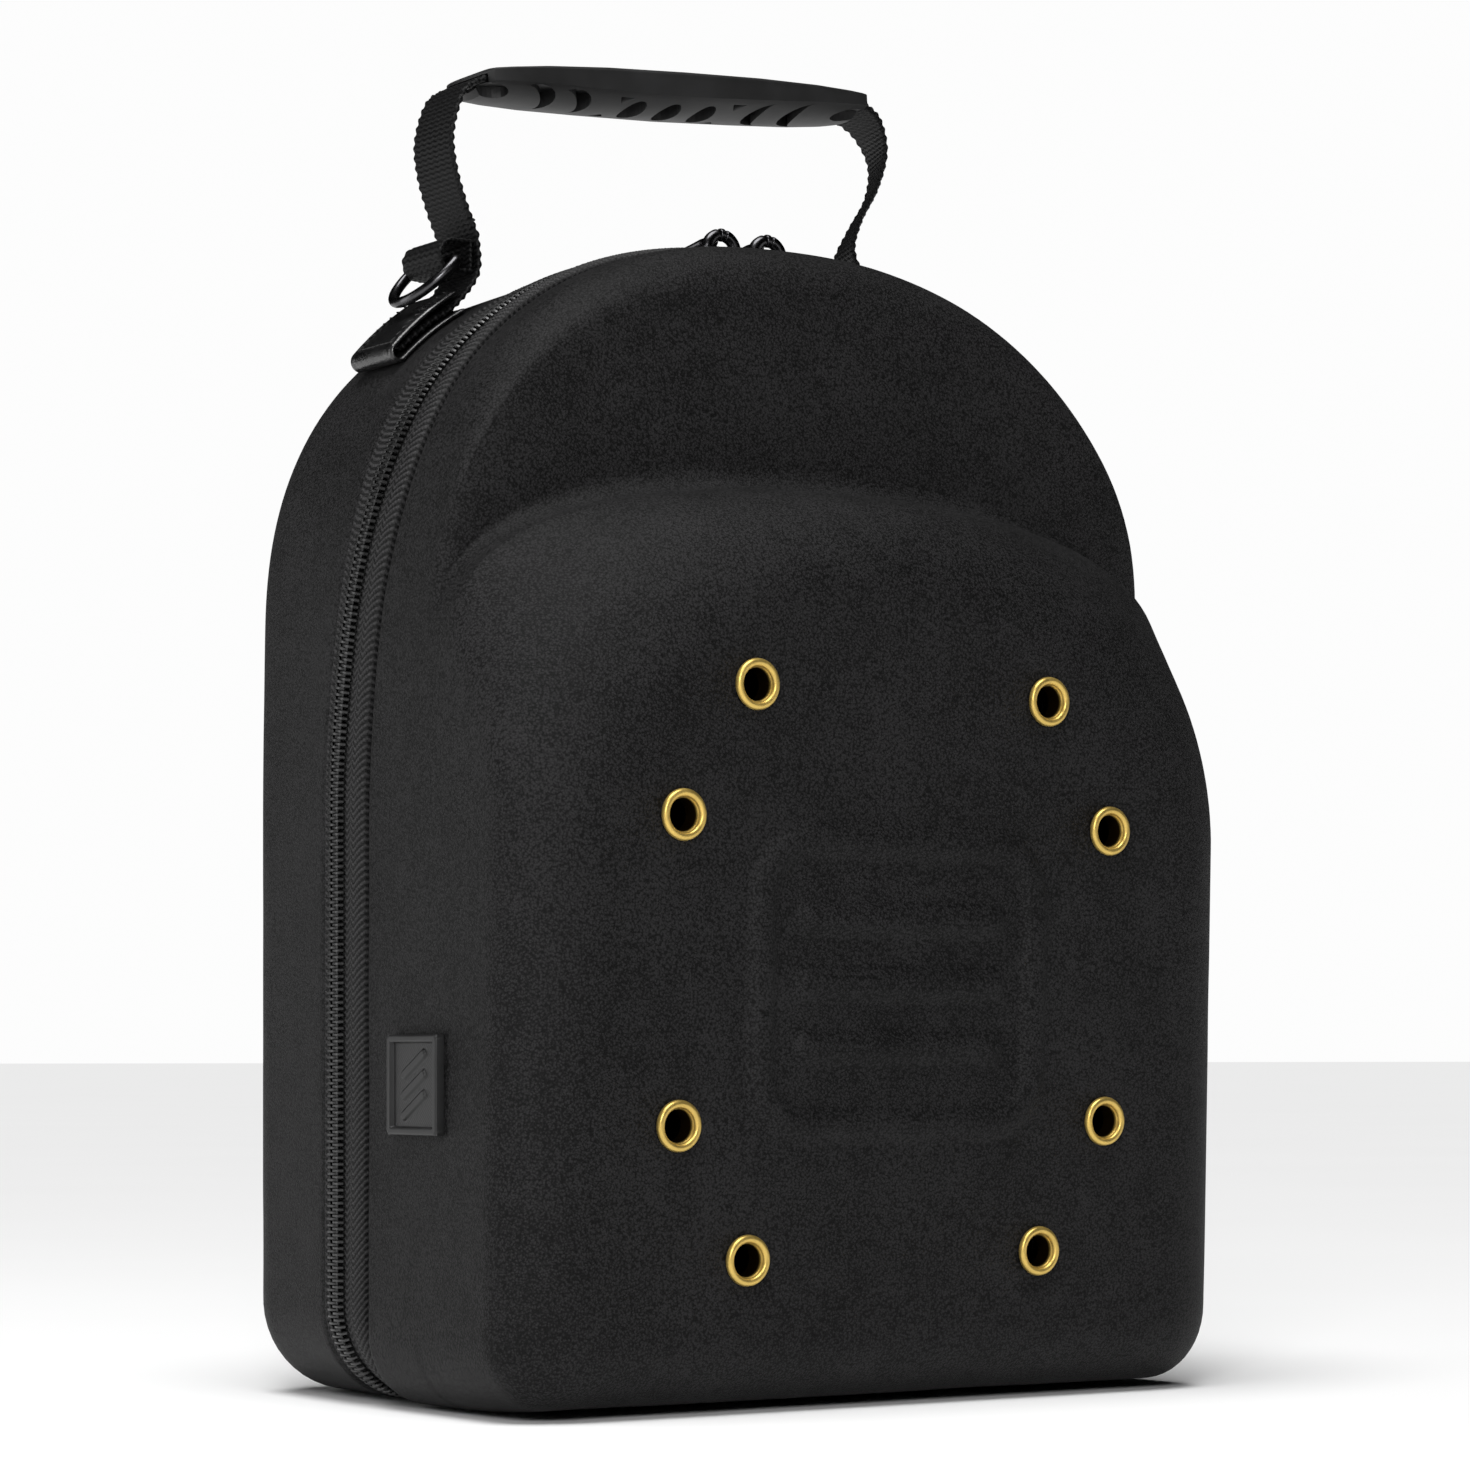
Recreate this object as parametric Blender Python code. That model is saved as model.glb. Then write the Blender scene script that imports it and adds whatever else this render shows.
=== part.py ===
"""Hard carrying case for caps: two moulded half shells joined by a zip, with a webbing handle.

The case stands on its flat bottom. The front faces -Y, the flat back faces +Y and the width runs
along X. The origin lies on the ground under the middle of the case.
"""
import math
from collections import namedtuple

import bmesh
import bpy
from mathutils import Matrix, Vector

MM = 0.001
GAP = 0.3 * MM

# Overall outline of both shells, seen from the front
CASE_WIDTH = 226 * MM
CASE_HEIGHT = 300 * MM
SHOULDER_HEIGHT = 190 * MM
ARCH_POWER = 2.35
WALL = 4 * MM

# Back shell
BACK_DEPTH = 56.5 * MM
BACK_EDGE_ROUND = 18 * MM
BACK_DRAFT = 3 * MM
BACK_CORNER = 24 * MM
BACK_SHOULDER_RISE = 11 * MM
BACK_ROUND_STEPS = 5

# Front shell: a brim level behind, and a crown that stands forward of it
BRIM_DEPTH = 39.5 * MM
BRIM_ROUND = 16 * MM
BRIM_SLOPE = 2.5 * MM
CREASE_ROUND = 9 * MM
CROWN_TOP = 232 * MM
FRONT_DEPTH = 86.5 * MM
FRONT_CORNER = 18 * MM
FACE_TOP = 204 * MM
FACE_SHOULDER = 132 * MM
FACE_POWER = 1.9
FACE_TILT = 0.03
FACE_SIDE_ROUND = 24 * MM
FACE_EDGE_DEPTH = 15 * MM
FACE_FOOT_ROUND = 14 * MM
FOOT_RISE = 3.5 * MM
FOOT_FLAT = 34 * MM
CROWN_STEPS = 7

# The zip line leans towards the front over the arch
LEAN = 14 * MM
LEAN_START = 150 * MM
LEAN_SPAN = 100 * MM

# Zip, with the edge tape behind it and the piping in front
SHELL_STEP = 1 * MM
COIL_HALF = 3.4 * MM
COIL_RISE = 1 * MM
TAPE_THICK = 1.6 * MM
BACK_TAPE_WIDTH = 1.5 * MM
FRONT_TAPE_WIDTH = 10.6 * MM
PIPING_RADIUS = 3.2 * MM

# Eyelets in two inner and two outer pairs
EYELET_INNER_X = 45.6 * MM
EYELET_OUTER_X = 66.6 * MM
EYELET_ROWS = (37.8 * MM, 71.1 * MM, 146.7 * MM, 179.3 * MM)
EYELET_BORE = 4.1 * MM
EYELET_WALL = 0.5 * MM
EYELET_FLANGE = 6.4 * MM
EYELET_PROUD = 1.45 * MM
EYELET_BACK = 0.8 * MM

# Raised motif on the front face: a rounded frame around level ribs
MOTIF_WIDTH = 92 * MM
MOTIF_HEIGHT = 78 * MM
MOTIF_CENTRE_Z = 106 * MM
MOTIF_RIB = 7 * MM
MOTIF_RISE = 1.6 * MM
MOTIF_CORNER = 18 * MM
MOTIF_RIB_COUNT = 3

# Rubber badge on the left side wall
BADGE_WIDTH = 24.5 * MM
BADGE_HEIGHT = 25 * MM
BADGE_THICK = 2.4 * MM
BADGE_BORDER = 2 * MM
BADGE_AHEAD = 42 * MM
BADGE_Z = 81 * MM

# Handle: webbing from tab to tab through a rubber grip
HANDLE_BEHIND_ZIP = 20 * MM
STRAP_WIDTH = 20 * MM
STRAP_THICK = 1.6 * MM
GRIP_LENGTH = 124 * MM
GRIP_WIDTH = 28 * MM
GRIP_TOP = 4.1 * MM
GRIP_SIDE = 3.4 * MM
GRIP_BELLY = 7.2 * MM
GRIP_ABOVE_CASE = 50.7 * MM
GRIP_TILT = math.radians(4.2)
GRIP_STRAP_DROP = 1 * MM
STRAP_TWIST = math.radians(27)
NECK_INSIDE_TAB = 4 * MM
NECK_ABOVE_TAB = 15.4 * MM
# Free stretches of the strap: distance outside the neck, share of the way down to it
STRAP_LEFT = ((4 * MM, 0.09), (7.5 * MM, 0.31), (6.8 * MM, 0.5), (4 * MM, 0.69), (1 * MM, 0.84))
STRAP_RIGHT = ((5 * MM, 0.07), (9 * MM, 0.22), (7 * MM, 0.4), (1 * MM, 0.58), (-2.5 * MM, 0.74))
# Where the strap lies inside the tab, as shares of the tab's length
STRAP_IN_TAB = (0.92, 0.6, 0.3, 0.08)

# Tabs, loops and rings that hold the handle
TAB_WIDTH = 22 * MM
TAB_THICK = 1.3 * MM
TAB_LOW = math.radians(42.5)
TAB_HIGH = math.radians(56)
TAB_SPREAD = 1 * MM
LOOP_RADIUS = 4.6 * MM
LOOP_THICK = 1.4 * MM
LOOP_HALF_HEIGHT = 4.6 * MM
RING_WIRE = 1.4 * MM
RING_WIDTH = 24 * MM
RING_DROP = 14.5 * MM
RING_FROM_ARCH = math.radians(8.7)

# Sliders and pulls
SLIDER_BAIL_X = (-3.4 * MM, 11.5 * MM)
SLIDER_LENGTH = 14 * MM
SLIDER_WIDTH = 9.5 * MM
SLIDER_THICK = 2 * MM
SLIDER_OFFSET = 1.6 * MM
BAIL_WIRE = 1.1 * MM
BAIL_HALF = 4.6 * MM
BAIL_HEIGHT = 5.2 * MM
PULL_EYE = 2.5 * MM
PULL_EYE_BORE = 1.55 * MM
PULL_EYE_WIDTH = 2.4 * MM
PULL_LENGTH = 25 * MM
PULL_WIDTH = 8 * MM
PULL_THICK = 1.6 * MM
PULL_DROOP = math.radians(11)

ZIP_Y = (FRONT_DEPTH + FACE_TILT * (EYELET_ROWS[-1] + EYELET_FLANGE) + EYELET_PROUD - BACK_DEPTH) / 2
HANDLE_Y = ZIP_Y + HANDLE_BEHIND_ZIP
GRIP_Z = CASE_HEIGHT + GRIP_ABOVE_CASE

# side: half width; foot and top: lowest and highest z; shoulder: where the arch starts;
# corner: radius of the bottom corners; power: fullness of the arch
Section = namedtuple("Section", "side foot top shoulder corner power")


def clear_scene():
    for thing in list(bpy.data.objects):
        bpy.data.objects.remove(thing)


def make_material(name, colour, roughness, metallic=0.0):
    material = bpy.data.materials.new(name)
    material.use_nodes = True
    shader = material.node_tree.nodes["Principled BSDF"]
    shader.inputs["Base Color"].default_value = (*colour, 1.0)
    shader.inputs["Roughness"].default_value = roughness
    shader.inputs["Metallic"].default_value = metallic
    return material


def add_object(name, mesh_data, material, sharp=math.radians(35)):
    """Turn a bmesh into a named object with smooth faces and sharp edges above an angle."""
    mesh = bpy.data.meshes.new(name)
    mesh_data.to_mesh(mesh)
    mesh_data.free()
    mesh.shade_smooth()
    mesh.set_sharp_from_angle(angle=sharp)
    thing = bpy.data.objects.new(name, mesh)
    thing.data.materials.append(material)
    bpy.context.scene.collection.objects.link(thing)
    return thing


def make_cutter(name, mesh_data):
    mesh = bpy.data.meshes.new(name)
    mesh_data.to_mesh(mesh)
    mesh_data.free()
    thing = bpy.data.objects.new(name, mesh)
    bpy.context.scene.collection.objects.link(thing)
    thing.hide_render = True
    thing.display_type = "WIRE"
    return thing


def add_boolean(thing, cutter, operation):
    step = thing.modifiers.new(operation.title(), "BOOLEAN")
    step.operation = operation
    step.solver = "EXACT"
    step.object = cutter


def bridge(mesh_data, rings, wrap=False):
    """Join successive rings of vertices with quads; wrap joins the last ring to the first."""
    count = len(rings[0])
    pairs = list(zip(rings, rings[1:]))
    if wrap:
        pairs.append((rings[-1], rings[0]))
    for near, far in pairs:
        for index in range(count):
            after = (index + 1) % count
            mesh_data.faces.new((near[index], near[after], far[after], far[index]))


def loft(point_rings, cap_start=True, cap_end=True, wrap=False):
    """A mesh through closed rings of points, with flat caps where asked."""
    mesh_data = bmesh.new()
    rings = [[mesh_data.verts.new(point) for point in ring] for ring in point_rings]
    bridge(mesh_data, rings, wrap)
    if cap_start and not wrap:
        mesh_data.faces.new(list(reversed(rings[0])))
    if cap_end and not wrap:
        mesh_data.faces.new(rings[-1])
    if wrap or (cap_start and cap_end):
        bmesh.ops.recalc_face_normals(mesh_data, faces=mesh_data.faces)
    return mesh_data


def outline(section):
    """Points (x, z) of a D-shaped section, anticlockwise from the bottom as seen from the front."""
    bottom_steps, corner_steps, side_steps, arch_steps = 3, 4, 4, 14
    half = []
    flat = section.side - section.corner
    for step in range(bottom_steps):
        half.append((flat * step / bottom_steps, section.foot))
    for step in range(corner_steps):
        angle = math.pi / 2 * step / corner_steps
        half.append((flat + section.corner * math.sin(angle),
                     section.foot + section.corner * (1 - math.cos(angle))))
    straight = section.shoulder - section.foot - section.corner
    for step in range(side_steps):
        half.append((section.side, section.foot + section.corner + straight * step / side_steps))
    for step in range(arch_steps):
        half.append(arch_point(section, math.pi / 2 * step / arch_steps))
    left = [(-x, z) for x, z in reversed(half[1:])]
    return half + [(0.0, section.top)] + left


def arch_point(section, angle, offset=0.0):
    """Point (x, z) of the arch at an angle above the shoulder, moved outward by an offset."""
    share = 2 / section.power
    x = section.side * math.cos(angle) ** share
    z = section.shoulder + (section.top - section.shoulder) * math.sin(angle) ** share
    slope_x = (x / section.side) ** (section.power - 1) / section.side
    rise = section.top - section.shoulder
    slope_z = ((z - section.shoulder) / rise) ** (section.power - 1) / rise
    length = math.hypot(slope_x, slope_z)
    return x + offset * slope_x / length, z + offset * slope_z / length


def lean(z):
    """How far the zip line lies forward of its straight part at a height."""
    share = min(max((z - LEAN_START) / LEAN_SPAN, 0.0), 1.0)
    return LEAN * share * share * (3 - 2 * share)


def place_front(x, z, ahead, flatness=0.0):
    """World point at a distance ahead of the zip; flatness 1 brings it into the tilted face."""
    slant = (1 - flatness) * lean(z) + flatness * FACE_TILT * z
    return Vector((x, ZIP_Y - ahead - slant, z))


def place_back(x, z, behind):
    """World point at a distance behind the zip; the lean fades out towards the flat back."""
    return Vector((x, ZIP_Y + behind - lean(z) * (1 - behind / BACK_DEPTH), z))


def zip_section(offset):
    """Section of the zip line, moved outward by an offset."""
    return Section(CASE_WIDTH / 2 - SHELL_STEP + offset, SHELL_STEP - offset,
                   CASE_HEIGHT - SHELL_STEP + offset, SHOULDER_HEIGHT,
                   BACK_CORNER + offset, ARCH_POWER)


def back_section(behind):
    """Section of the back shell at a distance behind the zip."""
    share = behind / BACK_DEPTH
    round_start = BACK_DEPTH - BACK_EDGE_ROUND
    inset = 0.0
    if behind > round_start:
        over = (behind - round_start) / BACK_EDGE_ROUND
        inset = BACK_EDGE_ROUND * (1 - math.sqrt(max(1 - over * over, 0.0)))
    draft = BACK_DRAFT * share
    return Section(CASE_WIDTH / 2 - SHELL_STEP / 2 - draft - inset, inset,
                   CASE_HEIGHT - SHELL_STEP - draft - inset,
                   SHOULDER_HEIGHT + BACK_SHOULDER_RISE * share,
                   max(BACK_CORNER - inset * 0.7, WALL), ARCH_POWER)


def make_back_shell(material):
    """Shallow tray with a flat back and a rounded back edge, open at the zip."""
    straight = BACK_DEPTH - BACK_EDGE_ROUND
    rim = COIL_HALF + GAP + BACK_TAPE_WIDTH + GAP
    depths = [BACK_DEPTH - BACK_EDGE_ROUND * (1 - math.cos(math.pi / 2 * step / BACK_ROUND_STEPS))
              for step in range(BACK_ROUND_STEPS)]
    depths += [straight, (straight + rim) / 2, rim]
    rings = []
    for depth in depths:
        rings.append([place_back(x, z, depth) for x, z in outline(back_section(depth))])
    shell = add_object("back_shell", loft(rings, cap_end=False), material)
    add_wall(shell)
    return shell


def add_wall(shell):
    step = shell.modifiers.new("Wall", "SOLIDIFY")
    step.thickness = WALL
    step.offset = -1
    step.use_even_offset = True
    step.use_rim = True


def brim_sections():
    """Sections of the brim level with their distance ahead of the zip, from the rim to the crease."""
    side = CASE_WIDTH / 2 - SHELL_STEP
    top = CASE_HEIGHT - 1.5 * SHELL_STEP
    rim = COIL_HALF + GAP + FRONT_TAPE_WIDTH + GAP
    steps = 5

    def at(ahead, height):
        foot = foot_height(ahead)
        return ahead, Section(side, foot, height, SHOULDER_HEIGHT, FRONT_CORNER, ARCH_POWER)

    yield at(rim, top - SHELL_STEP)
    yield at(rim + 2 * SHELL_STEP, top)
    for step in range(steps + 1):
        angle = math.pi / 2 * step / steps
        ahead = BRIM_DEPTH - BRIM_ROUND * (1 - math.sin(angle))
        yield at(ahead, top - BRIM_ROUND * (1 - math.cos(angle)))
    for step in range(4):
        angle = math.pi / 2 * step / 3
        ahead = BRIM_DEPTH + BRIM_SLOPE + CREASE_ROUND * (1 - math.cos(angle))
        yield at(ahead, CROWN_TOP + CREASE_ROUND * (1 - math.sin(angle)))


def round_inset(width, depth, remaining):
    """Inset of a quarter ellipse of a width and depth, at a distance short of its end."""
    over = max(1 - remaining / depth, 0.0)
    return width * (1 - math.sqrt(max(1 - over * over, 0.0)))


def foot_height(ahead):
    """The bottom is flat behind, and sweeps up a little towards the front."""
    share = max(ahead - FOOT_FLAT, 0.0) / (FRONT_DEPTH - FOOT_FLAT)
    return FOOT_RISE * share * share


def crown_sections():
    """Sections of the crown with their distance ahead and their share of the face's slant."""
    start = BRIM_DEPTH + BRIM_SLOPE + CREASE_ROUND
    full_side = CASE_WIDTH / 2 - SHELL_STEP
    for step in range(1, CROWN_STEPS + 1):
        angle = math.pi / 2 * step / CROWN_STEPS
        share = math.sin(angle)
        ahead = start + (FRONT_DEPTH - start) * share
        remaining = FRONT_DEPTH - ahead
        inset = round_inset(FACE_SIDE_ROUND, FACE_EDGE_DEPTH, remaining)
        foot = foot_height(ahead) + round_inset(FACE_FOOT_ROUND, FACE_FOOT_ROUND, remaining)
        top = FACE_TOP + (CROWN_TOP - FACE_TOP) * math.cos(angle)
        shoulder = SHOULDER_HEIGHT + (FACE_SHOULDER - SHOULDER_HEIGHT) * share
        power = ARCH_POWER + (FACE_POWER - ARCH_POWER) * share
        corner = max(FRONT_CORNER - 0.4 * inset, WALL)
        yield ahead, share, Section(full_side - inset, foot, top, shoulder, corner, power)


def make_front_shell(material):
    """Deep shell with the brim level, the crease and the crown, open at the zip."""
    rings = []
    for ahead, section in brim_sections():
        rings.append([place_front(x, z, ahead) for x, z in outline(section)])
    for ahead, flatness, section in crown_sections():
        rings.append([place_front(x, z, ahead, flatness) for x, z in outline(section)])
    shell = add_object("front_shell", loft(rings, cap_start=False), material)
    add_wall(shell)
    add_boolean(shell, make_eyelet_cutter(), "DIFFERENCE")
    add_boolean(shell, make_motif_tool(), "UNION")
    return shell


def face_matrix(x, z):
    """Frame on the front face: local Z points out of the face and local Y up along it."""
    angle = math.atan(FACE_TILT)
    outward = Vector((0, -math.cos(angle), -math.sin(angle)))
    up = Vector((0, -math.sin(angle), math.cos(angle)))
    turn = Matrix((Vector((1, 0, 0)), up, outward)).transposed().to_4x4()
    return Matrix.Translation(place_front(x, z, FRONT_DEPTH, 1.0)) @ turn


def eyelet_places():
    """Positions (x, z) of the eyelets: inner pairs in the end rows, outer pairs between them."""
    widths = (EYELET_INNER_X, EYELET_OUTER_X, EYELET_OUTER_X, EYELET_INNER_X)
    for width, z in zip(widths, EYELET_ROWS):
        yield -width, z
        yield width, z


def circle(radius, height, segments):
    turn = 2 * math.pi / segments
    return [Vector((radius * math.cos(turn * step), radius * math.sin(turn * step), height))
            for step in range(segments)]


def make_eyelet_cutter():
    holes = bmesh.new()
    for x, z in eyelet_places():
        frame = face_matrix(x, z)
        ends = []
        for height in (-2 * WALL, WALL):
            ring = circle(EYELET_BORE + EYELET_WALL + GAP, height, 16)
            ends.append([holes.verts.new(frame @ point) for point in ring])
        bridge(holes, ends)
        holes.faces.new(list(reversed(ends[0])))
        holes.faces.new(ends[1])
    bmesh.ops.recalc_face_normals(holes, faces=holes.faces)
    return make_cutter("eyelet_cutter", holes)


def make_eyelets(material):
    """Brass eyelets, each with a rolled outer flange, a barrel and an inner flange."""
    barrel = EYELET_BORE + EYELET_WALL
    inside = -WALL - GAP
    profile = [
        (EYELET_BORE, inside - EYELET_BACK),
        (EYELET_BORE, EYELET_PROUD * 0.4),
        (barrel, EYELET_PROUD * 0.9),
        ((barrel + EYELET_FLANGE) / 2, EYELET_PROUD),
        (EYELET_FLANGE * 0.95, EYELET_PROUD * 0.75),
        (EYELET_FLANGE, GAP),
        (barrel, GAP),
        (barrel, inside),
        (EYELET_FLANGE, inside),
        (EYELET_FLANGE, inside - EYELET_BACK),
    ]
    for number, (x, z) in enumerate(eyelet_places(), start=1):
        frame = face_matrix(x, z)
        rings = [[frame @ point for point in circle(radius, height, 16)]
                 for radius, height in profile]
        add_object(f"eyelet_{number}", loft(rings, wrap=True), material)


def rounded_rectangle(width, height, corner, steps=4):
    """Points (x, y) of a rounded rectangle around the origin, anticlockwise."""
    points = []
    for quarter, (sign_x, sign_y) in enumerate(((1, 1), (-1, 1), (-1, -1), (1, -1))):
        for step in range(steps + 1):
            angle = math.pi / 2 * (quarter + step / steps)
            points.append((sign_x * (width / 2 - corner) + corner * math.cos(angle),
                           sign_y * (height / 2 - corner) + corner * math.sin(angle)))
    return points


def make_motif_tool():
    """Raised frame and ribs, sunk half a wall into the face so that they join it."""
    tool = bmesh.new()
    frame = face_matrix(0.0, MOTIF_CENTRE_Z)
    low, high = -WALL / 2, MOTIF_RISE
    outer = rounded_rectangle(MOTIF_WIDTH, MOTIF_HEIGHT, MOTIF_CORNER)
    inner = rounded_rectangle(MOTIF_WIDTH - 2 * MOTIF_RIB, MOTIF_HEIGHT - 2 * MOTIF_RIB,
                              MOTIF_CORNER - MOTIF_RIB)
    loops = []
    for points, height in ((outer, low), (outer, high), (inner, high), (inner, low)):
        loops.append([tool.verts.new(frame @ Vector((x, y, height))) for x, y in points])
    bridge(tool, loops, wrap=True)
    pitch = (MOTIF_HEIGHT - 2 * MOTIF_RIB) / (MOTIF_RIB_COUNT + 1)
    for number in range(MOTIF_RIB_COUNT):
        middle = (number + 1) * pitch - (MOTIF_HEIGHT / 2 - MOTIF_RIB)
        length = MOTIF_WIDTH - 4 * MOTIF_RIB
        bar = rounded_rectangle(length, MOTIF_RIB, MOTIF_RIB / 2 - GAP)
        ends = []
        for height in (low, high):
            ends.append([tool.verts.new(frame @ Vector((x, y + middle, height))) for x, y in bar])
        bridge(tool, ends)
        tool.faces.new(list(reversed(ends[0])))
        tool.faces.new(ends[1])
    bmesh.ops.recalc_face_normals(tool, faces=tool.faces)
    return make_cutter("motif_tool", tool)


def make_zip_band(name, profile, material):
    """Closed band that follows the zip line; the profile holds (ahead, offset) corners."""
    rings = []
    for ahead, offset in profile:
        points = outline(zip_section(offset))
        if ahead >= 0:
            rings.append([place_front(x, z, ahead) for x, z in points])
        else:
            rings.append([place_back(x, z, -ahead) for x, z in points])
    return add_object(name, loft(rings, wrap=True), material)


def make_zip(tape_material, coil_material):
    """Edge tape behind the coil, the closed coil, and the tape with its piping in front."""
    back = -(COIL_HALF + GAP)
    make_zip_band("zip_tape_back", [
        (back - BACK_TAPE_WIDTH, -TAPE_THICK),
        (back, -TAPE_THICK),
        (back, -GAP),
        (back - BACK_TAPE_WIDTH, GAP),
    ], tape_material)
    make_zip_band("zip_coil", [
        (-COIL_HALF, -TAPE_THICK),
        (COIL_HALF, -TAPE_THICK),
        (COIL_HALF, COIL_RISE / 5),
        (COIL_HALF * 0.6, COIL_RISE),
        (-COIL_HALF * 0.6, COIL_RISE),
        (-COIL_HALF, COIL_RISE / 5),
    ], coil_material)
    front = COIL_HALF + GAP
    end = front + FRONT_TAPE_WIDTH
    middle = end - PIPING_RADIUS
    make_zip_band("zip_tape_front", [
        (front, -TAPE_THICK),
        (end, -TAPE_THICK),
        (end, -TAPE_THICK / 3),
        (middle + PIPING_RADIUS * 0.7, COIL_RISE * 0.5),
        (middle, COIL_RISE * 0.9),
        (middle - PIPING_RADIUS * 0.7, COIL_RISE * 0.5),
        (middle - PIPING_RADIUS, -TAPE_THICK / 3),
        (front, -TAPE_THICK / 3),
    ], tape_material)


def make_badge(material):
    """Square rubber badge with a raised border, flat on the left wall of the front shell."""
    wall_x = -(CASE_WIDTH / 2 - SHELL_STEP)
    seat = wall_x - GAP
    middle = ZIP_Y - BADGE_AHEAD

    def corners(x, inset):
        half_width = BADGE_WIDTH / 2 - inset
        half_height = BADGE_HEIGHT / 2 - inset
        return [(x, middle - side * half_width, BADGE_Z + up * half_height)
                for side, up in ((1, -1), (1, 1), (-1, 1), (-1, -1))]

    rings = [
        corners(seat, 0.0),
        corners(seat - BADGE_THICK, 0.0),
        corners(seat - BADGE_THICK, BADGE_BORDER),
        corners(seat - BADGE_THICK / 2, BADGE_BORDER),
    ]
    add_object("side_badge", loft(rings), material)


def seat_section(y, angle):
    """Section and height of the back shell where a world Y meets the arch at an angle."""
    behind = y - ZIP_Y
    for _ in range(4):
        section = back_section(behind)
        z = arch_point(section, angle)[1]
        behind = (y - ZIP_Y + lean(z)) / (1 + lean(z) / BACK_DEPTH)
    return section


def seat_point(angle, offset):
    """Point (x, z) above the arch under the front edge of a tab, on the right-hand side."""
    return arch_point(seat_section(HANDLE_Y - TAB_WIDTH / 2, angle), angle, offset)


def neck():
    """Point (x, z) on the right where the strap, above the tab, meets its ring loop."""
    x, z = seat_point(TAB_HIGH, 0.0)
    return x - NECK_INSIDE_TAB, z + NECK_ABOVE_TAB


def ring_angle():
    """Fall of the D ring's bow: the slope of the arch under the tab and a little more."""
    low_x, low_z = seat_point(TAB_LOW, 0.0)
    high_x, high_z = seat_point(TAB_HIGH, 0.0)
    return math.atan2(high_z - low_z, low_x - high_x) + RING_FROM_ARCH


def extrude_profile(name, points, width, material, side):
    """Solid of a profile (x, z) in the handle's plane, across the strap; side -1 mirrors it."""
    rings = []
    for y in (HANDLE_Y - width / 2, HANDLE_Y + width / 2):
        rings.append([Vector((side * x, y, z)) for x, z in points])
    return add_object(name, loft(rings), material)


def make_tab(name, material, side):
    """Leather strip folded in two around the end of the strap, seated on the arch."""
    steps = 6
    inner_low, inner_high = GAP, GAP + TAB_THICK
    mouth = STRAP_THICK + 4 * GAP
    outer_low = inner_high + mouth
    outer_high = outer_low + TAB_THICK
    angles = [TAB_LOW + (TAB_HIGH - TAB_LOW) * step / steps for step in range(steps + 1)]

    def spread(angle):
        return TAB_SPREAD * (angle - TAB_LOW) / (TAB_HIGH - TAB_LOW)

    points = [seat_point(angle, inner_low) for angle in reversed(angles)]
    fold = (outer_high - inner_low) / 2
    middle = seat_point(TAB_LOW, inner_low + fold)
    start = seat_point(TAB_LOW, inner_low)
    out_x, out_z = (middle[0] - start[0]) / fold, (middle[1] - start[1]) / fold
    for step in range(1, 4):
        turn = math.pi * step / 4
        points.append((middle[0] - fold * (math.cos(turn) * out_x - math.sin(turn) * out_z),
                       middle[1] - fold * (math.cos(turn) * out_z + math.sin(turn) * out_x)))
    points += [seat_point(angle, outer_high + spread(angle)) for angle in angles]
    points += [seat_point(angle, outer_low + spread(angle)) for angle in reversed(angles)]
    points += [seat_point(angle, inner_high) for angle in angles]
    extrude_profile(name, points, TAB_WIDTH, material, side)


def grip_line(along, offset):
    """Point (x, z) at a distance along the tilted grip from its middle, and above its line."""
    return (along * math.cos(GRIP_TILT) - offset * math.sin(GRIP_TILT),
            GRIP_Z + along * math.sin(GRIP_TILT) + offset * math.cos(GRIP_TILT))


def strap_half(side):
    """Centre points (x, z) of half the strap, from the grip's end to inside the tab."""
    end_x, end_z = grip_line(side * GRIP_LENGTH / 2, -GRIP_STRAP_DROP)
    middle = GAP + TAB_THICK + 2 * GAP + STRAP_THICK / 2
    neck_x, neck_z = neck()
    drop = end_z - neck_z
    points = [(side * (neck_x + bulge), end_z - share * drop)
              for bulge, share in (STRAP_LEFT if side < 0 else STRAP_RIGHT)]
    points += [
        (side * neck_x, neck_z + LOOP_HALF_HEIGHT),
        (side * neck_x, neck_z - LOOP_HALF_HEIGHT),
    ]
    for share in STRAP_IN_TAB:
        angle = TAB_LOW + (TAB_HIGH - TAB_LOW) * share
        x, z = seat_point(angle, middle)
        points.append((side * x, z))
    return points


def smooth_path(points, steps):
    """Points of a smooth curve through the given points."""
    path = []
    last = len(points) - 1
    for index in range(last):
        before = Vector(points[max(index - 1, 0)])
        start = Vector(points[index])
        end = Vector(points[index + 1])
        after = Vector(points[min(index + 2, last)])
        for step in range(steps):
            t = step / steps
            path.append(0.5 * (2 * start + (end - before) * t
                               + (2 * before - 5 * start + 4 * end - after) * t * t
                               + (3 * start - before - 3 * end + after) * t ** 3))
    path.append(Vector(points[-1]))
    return path


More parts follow.
